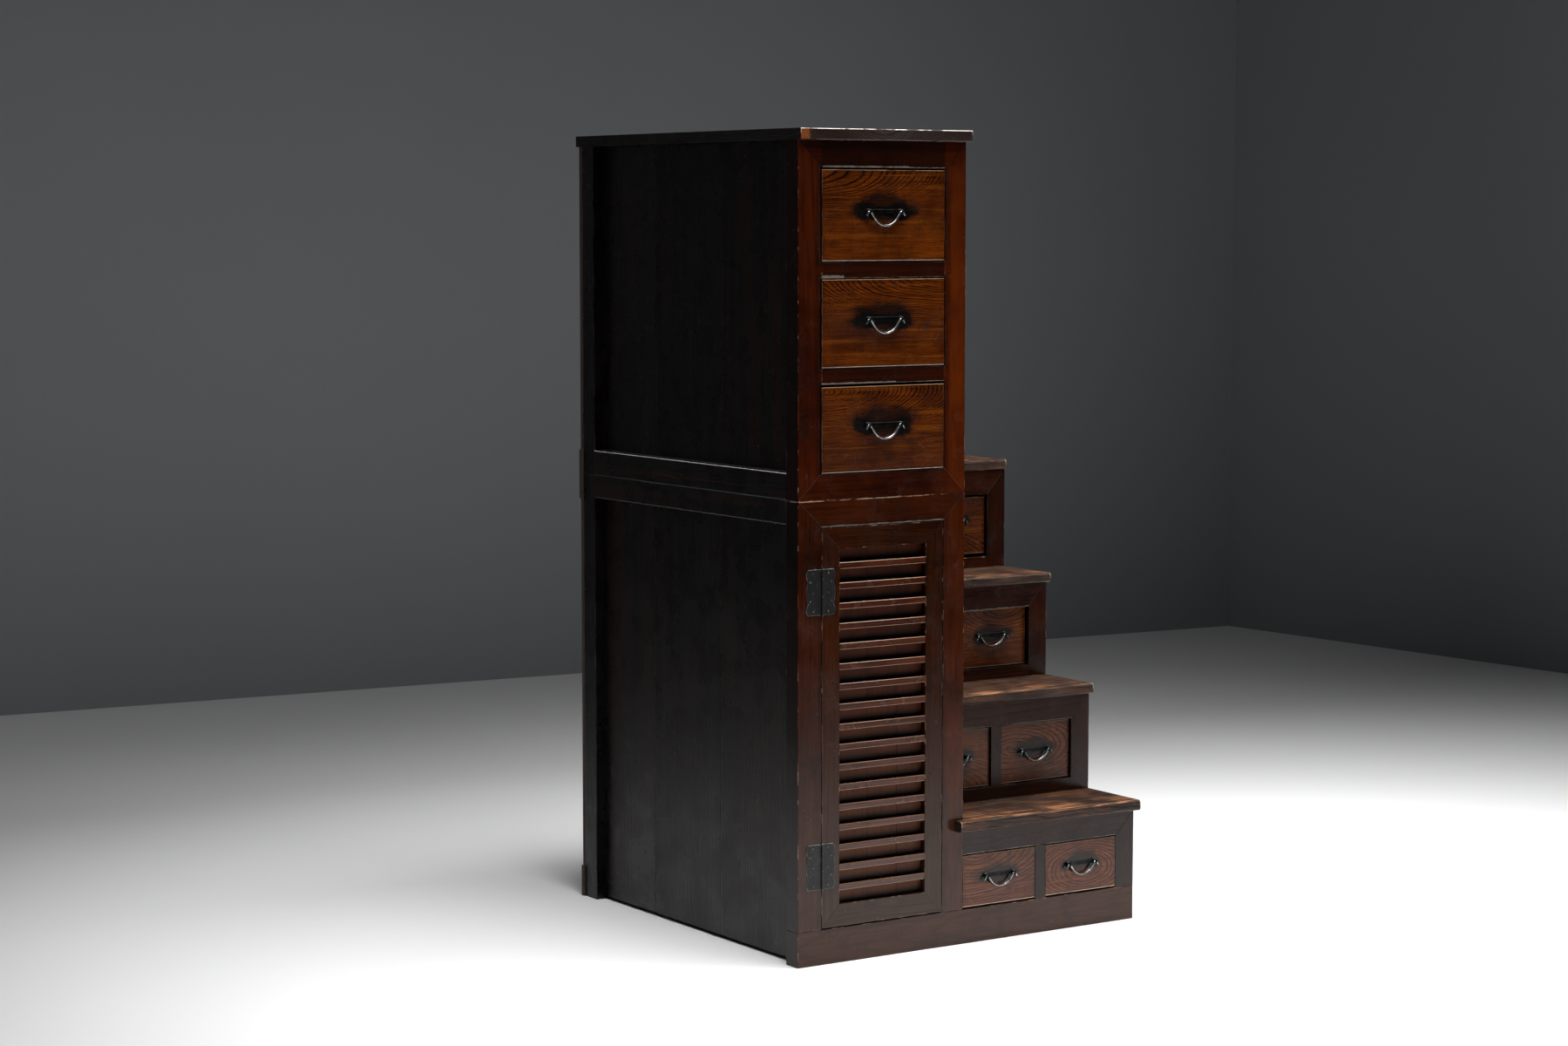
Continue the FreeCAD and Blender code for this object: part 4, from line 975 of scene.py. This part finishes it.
def nail_head(forging, x, z, face):
    """A low domed nail head on a leaf's face."""
    rings = [forging.ring([(x + out, face - rise, z + up) for out, up in circle(radius, NAIL_SIDES)])
             for radius, rise in NAIL_RINGS]
    for first, second in zip(rings, rings[1:]):
        forging.wall(first, second, 1)
    forging.cap(rings[-1], 1)


def knuckle(forging, x, y, foot, head, radius, look):
    """One rolled knuckle or a length of pin, with a worn rounded rim at each end."""
    rim = min(SOFT_RIM, radius / 3)
    levels = ((foot, radius - rim), (foot + rim, radius), (head - rim, radius), (head, radius - rim))
    rings = [forging.ring([(x + right, y + back, z) for right, back in circle(wide, KNUCKLE_SIDES)])
             for z, wide in levels]
    for index, (first, second) in enumerate(zip(rings, rings[1:])):
        forging.wall(first, second, look if index == 1 else 1)
    forging.cap(list(reversed(rings[0])), look)
    forging.cap(rings[-1], look)


def leaf(forging, outer, inner, foot, head, front):
    """A flat leaf with a softened, rubbed rim."""
    side = 1 if outer > inner else -1
    outline = lobed_outline(outer, inner, foot, head, side)
    face = front - LEAF_THICK
    levels = ((outline, front), (outline, face + SOFT_RIM), (inset(outline, SOFT_RIM), face),
              (inset(outline, RUBBED_RIM), face))
    rings = [forging.ring([(x, y, z) for x, z in corners]) for corners, y in levels]
    for index, (first, second) in enumerate(zip(rings, rings[1:])):
        forging.wall(first, second, 1 if index else 0)
    forging.cap(rings[-1])


def build_hinges():
    """Both hinges: lobed leaves on the post and the door, knuckles in turn, a pin and nails."""
    post_low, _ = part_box("hinge_post_leaves")
    door_low, door_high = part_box("hinge_door_leaves")
    frame_low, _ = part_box("door_frame")
    pin_x = (frame_low.x + post_low.x + POST_LEAF_WIDE) / 2
    front = frame_low.y
    pin_y = front - LEAF_THICK - KNUCKLE + KNUCKLE_SINK
    reach = KNUCKLE + LEAF_GAP
    post, door = Forging(), Forging()
    for foot in (door_low.z, door_high.z - HINGE_HIGH):
        head = foot + HINGE_HIGH
        leaf(post, post_low.x, pin_x - reach, foot, head, front)
        leaf(door, door_high.x, pin_x + reach, foot, head, front)
        cuts = (foot, head - KNUCKLE_SEAMS[0], head - KNUCKLE_SEAMS[1], head)
        for barrel, low, top in zip((post, door, post), cuts, cuts[1:]):
            knuckle(barrel, pin_x, pin_y, low + KNUCKLE_AIR, top - KNUCKLE_AIR, KNUCKLE, 0)
        for index, share in enumerate(NAIL_HEIGHTS):
            inward = NAIL_INSETS[index % 2]
            z = foot + HINGE_HIGH * (1 - share)
            nail_head(post, post_low.x + inward, z, front - LEAF_THICK)
            nail_head(door, door_high.x - inward, z, front - LEAF_THICK)
        knuckle(post, pin_x, pin_y, foot - PIN_STAND, foot, PIN, 1)
        knuckle(post, pin_x, pin_y, head, head + PIN_STAND, PIN, 1)
    post.build("hinge_post_iron", (hinge_iron, rubbed_iron), "case", "hinge_post_leaves")
    door.build("hinge_door_iron", (hinge_iron, rubbed_iron), "door", "hinge_door_leaves")


build_hinges()


def plain(name, base, roughness):
    """A plain surface for the floor or the backdrop, a little uneven."""
    shade = Shade(name)
    place = shade.add("ShaderNodeNewGeometry").outputs["Position"]
    cloudy = shade.noise(place, 0.6, 2.0)
    darker = tuple(c * 0.96 for c in base[:3]) + (1.0,)
    shade.tone = shade.mix(shade.ramp(cloudy, 0.3, 0.7), base, darker)
    return shade.finish(roughness, cloudy, 0.0001)


def one_sided(material):
    """Let a wall show on its front side only, so that the room never hides the object from behind."""
    tree = material.node_tree
    end = tree.nodes["Material Output"]
    shader = tree.nodes["Principled BSDF"]
    clear = tree.nodes.new("ShaderNodeBsdfTransparent")
    side = tree.nodes.new("ShaderNodeNewGeometry")
    choice = tree.nodes.new("ShaderNodeMixShader")
    tree.links.new(side.outputs["Backfacing"], choice.inputs[0])
    tree.links.new(shader.outputs[0], choice.inputs[1])
    tree.links.new(clear.outputs[0], choice.inputs[2])
    tree.links.new(choice.outputs[0], end.inputs[0])
    return material


# Where the two walls meet each other and end, seen from above
ROOM_CORNER = (4.15, 3.46)
WALL_LEFT = (-9.0, 4.58)
WALL_RIGHT = (4.47, -2.0)
floor = mesh_object("floor", [(-9, -12, 0), (9, -12, 0), (9, 5, 0), (-9, 5, 0)], [(0, 1, 2, 3)])
floor.data.materials.append(plain("floor_pale", (0.92, 0.92, 0.92, 1.0), 0.6))
wall = mesh_object("backdrop",
                   [(x, y, z) for z in (0, 6) for x, y in (WALL_LEFT, ROOM_CORNER, WALL_RIGHT)],
                   [(0, 1, 4, 3), (1, 2, 5, 4)])
wall.data.materials.append(one_sided(plain("backdrop_grey", colour(133, 135, 138), 0.9)))


def softbox(name, place, target, size, power, spread):
    """A soft lamp that looks at a target, with its power in watts and its spread in degrees."""
    lamp = bpy.data.lights.new(name, "AREA")
    lamp.shape = "RECTANGLE"
    lamp.size = size[0]
    lamp.size_y = size[1]
    lamp.energy = power
    lamp.spread = math.radians(spread)
    item = bpy.data.objects.new(name, lamp)
    bpy.context.scene.collection.objects.link(item)
    item.location = place
    item.rotation_euler = (Vector(target) - Vector(place)).to_track_quat("-Z", "Y").to_euler()


softbox("overhead", (0.45, -0.95, 4.2), (0.45, -0.85, 0.0), (3.2, 1.9), 112, 80)
softbox("left_overhead", (-2.9, -1.4, 4.2), (-2.8, -1.3, 0.0), (2.2, 2.0), 12, 100)
softbox("wall_wash", (-1.2, -0.4, 4.6), (0.0, 4.0, 0.6), (4.0, 1.0), 7, 96)
softbox("wall_foot", (-0.4, 1.8, 1.2), (-0.3, 4.0, 0.9), (7.0, 0.8), 7.5, 140)

# Faint light from all sides
ROOM_LIGHT = 0.03
world = bpy.data.worlds.new("studio")
world.use_nodes = True
background = world.node_tree.nodes["Background"]
background.inputs["Color"].default_value = (1.0, 1.0, 1.0, 1.0)
background.inputs["Strength"].default_value = ROOM_LIGHT
bpy.context.scene.world = world

# The camera fitted to the corners that show in the photo
CAMERA_PLACE = (-4.21105, -6.08713, 1.57942)
CAMERA_YAW = 33.4217
CAMERA_PITCH = 5.3617
FOCAL_LENGTH = 75.151
lens = bpy.data.cameras.new("camera")
lens.lens = FOCAL_LENGTH
lens.sensor_width = 36.0
camera = bpy.data.objects.new("camera", lens)
camera.location = CAMERA_PLACE
camera.rotation_euler = (math.radians(90 - CAMERA_PITCH), 0.0, math.radians(-CAMERA_YAW))
bpy.context.scene.collection.objects.link(camera)
bpy.context.scene.camera = camera
bpy.context.scene.view_settings.view_transform = "Standard"
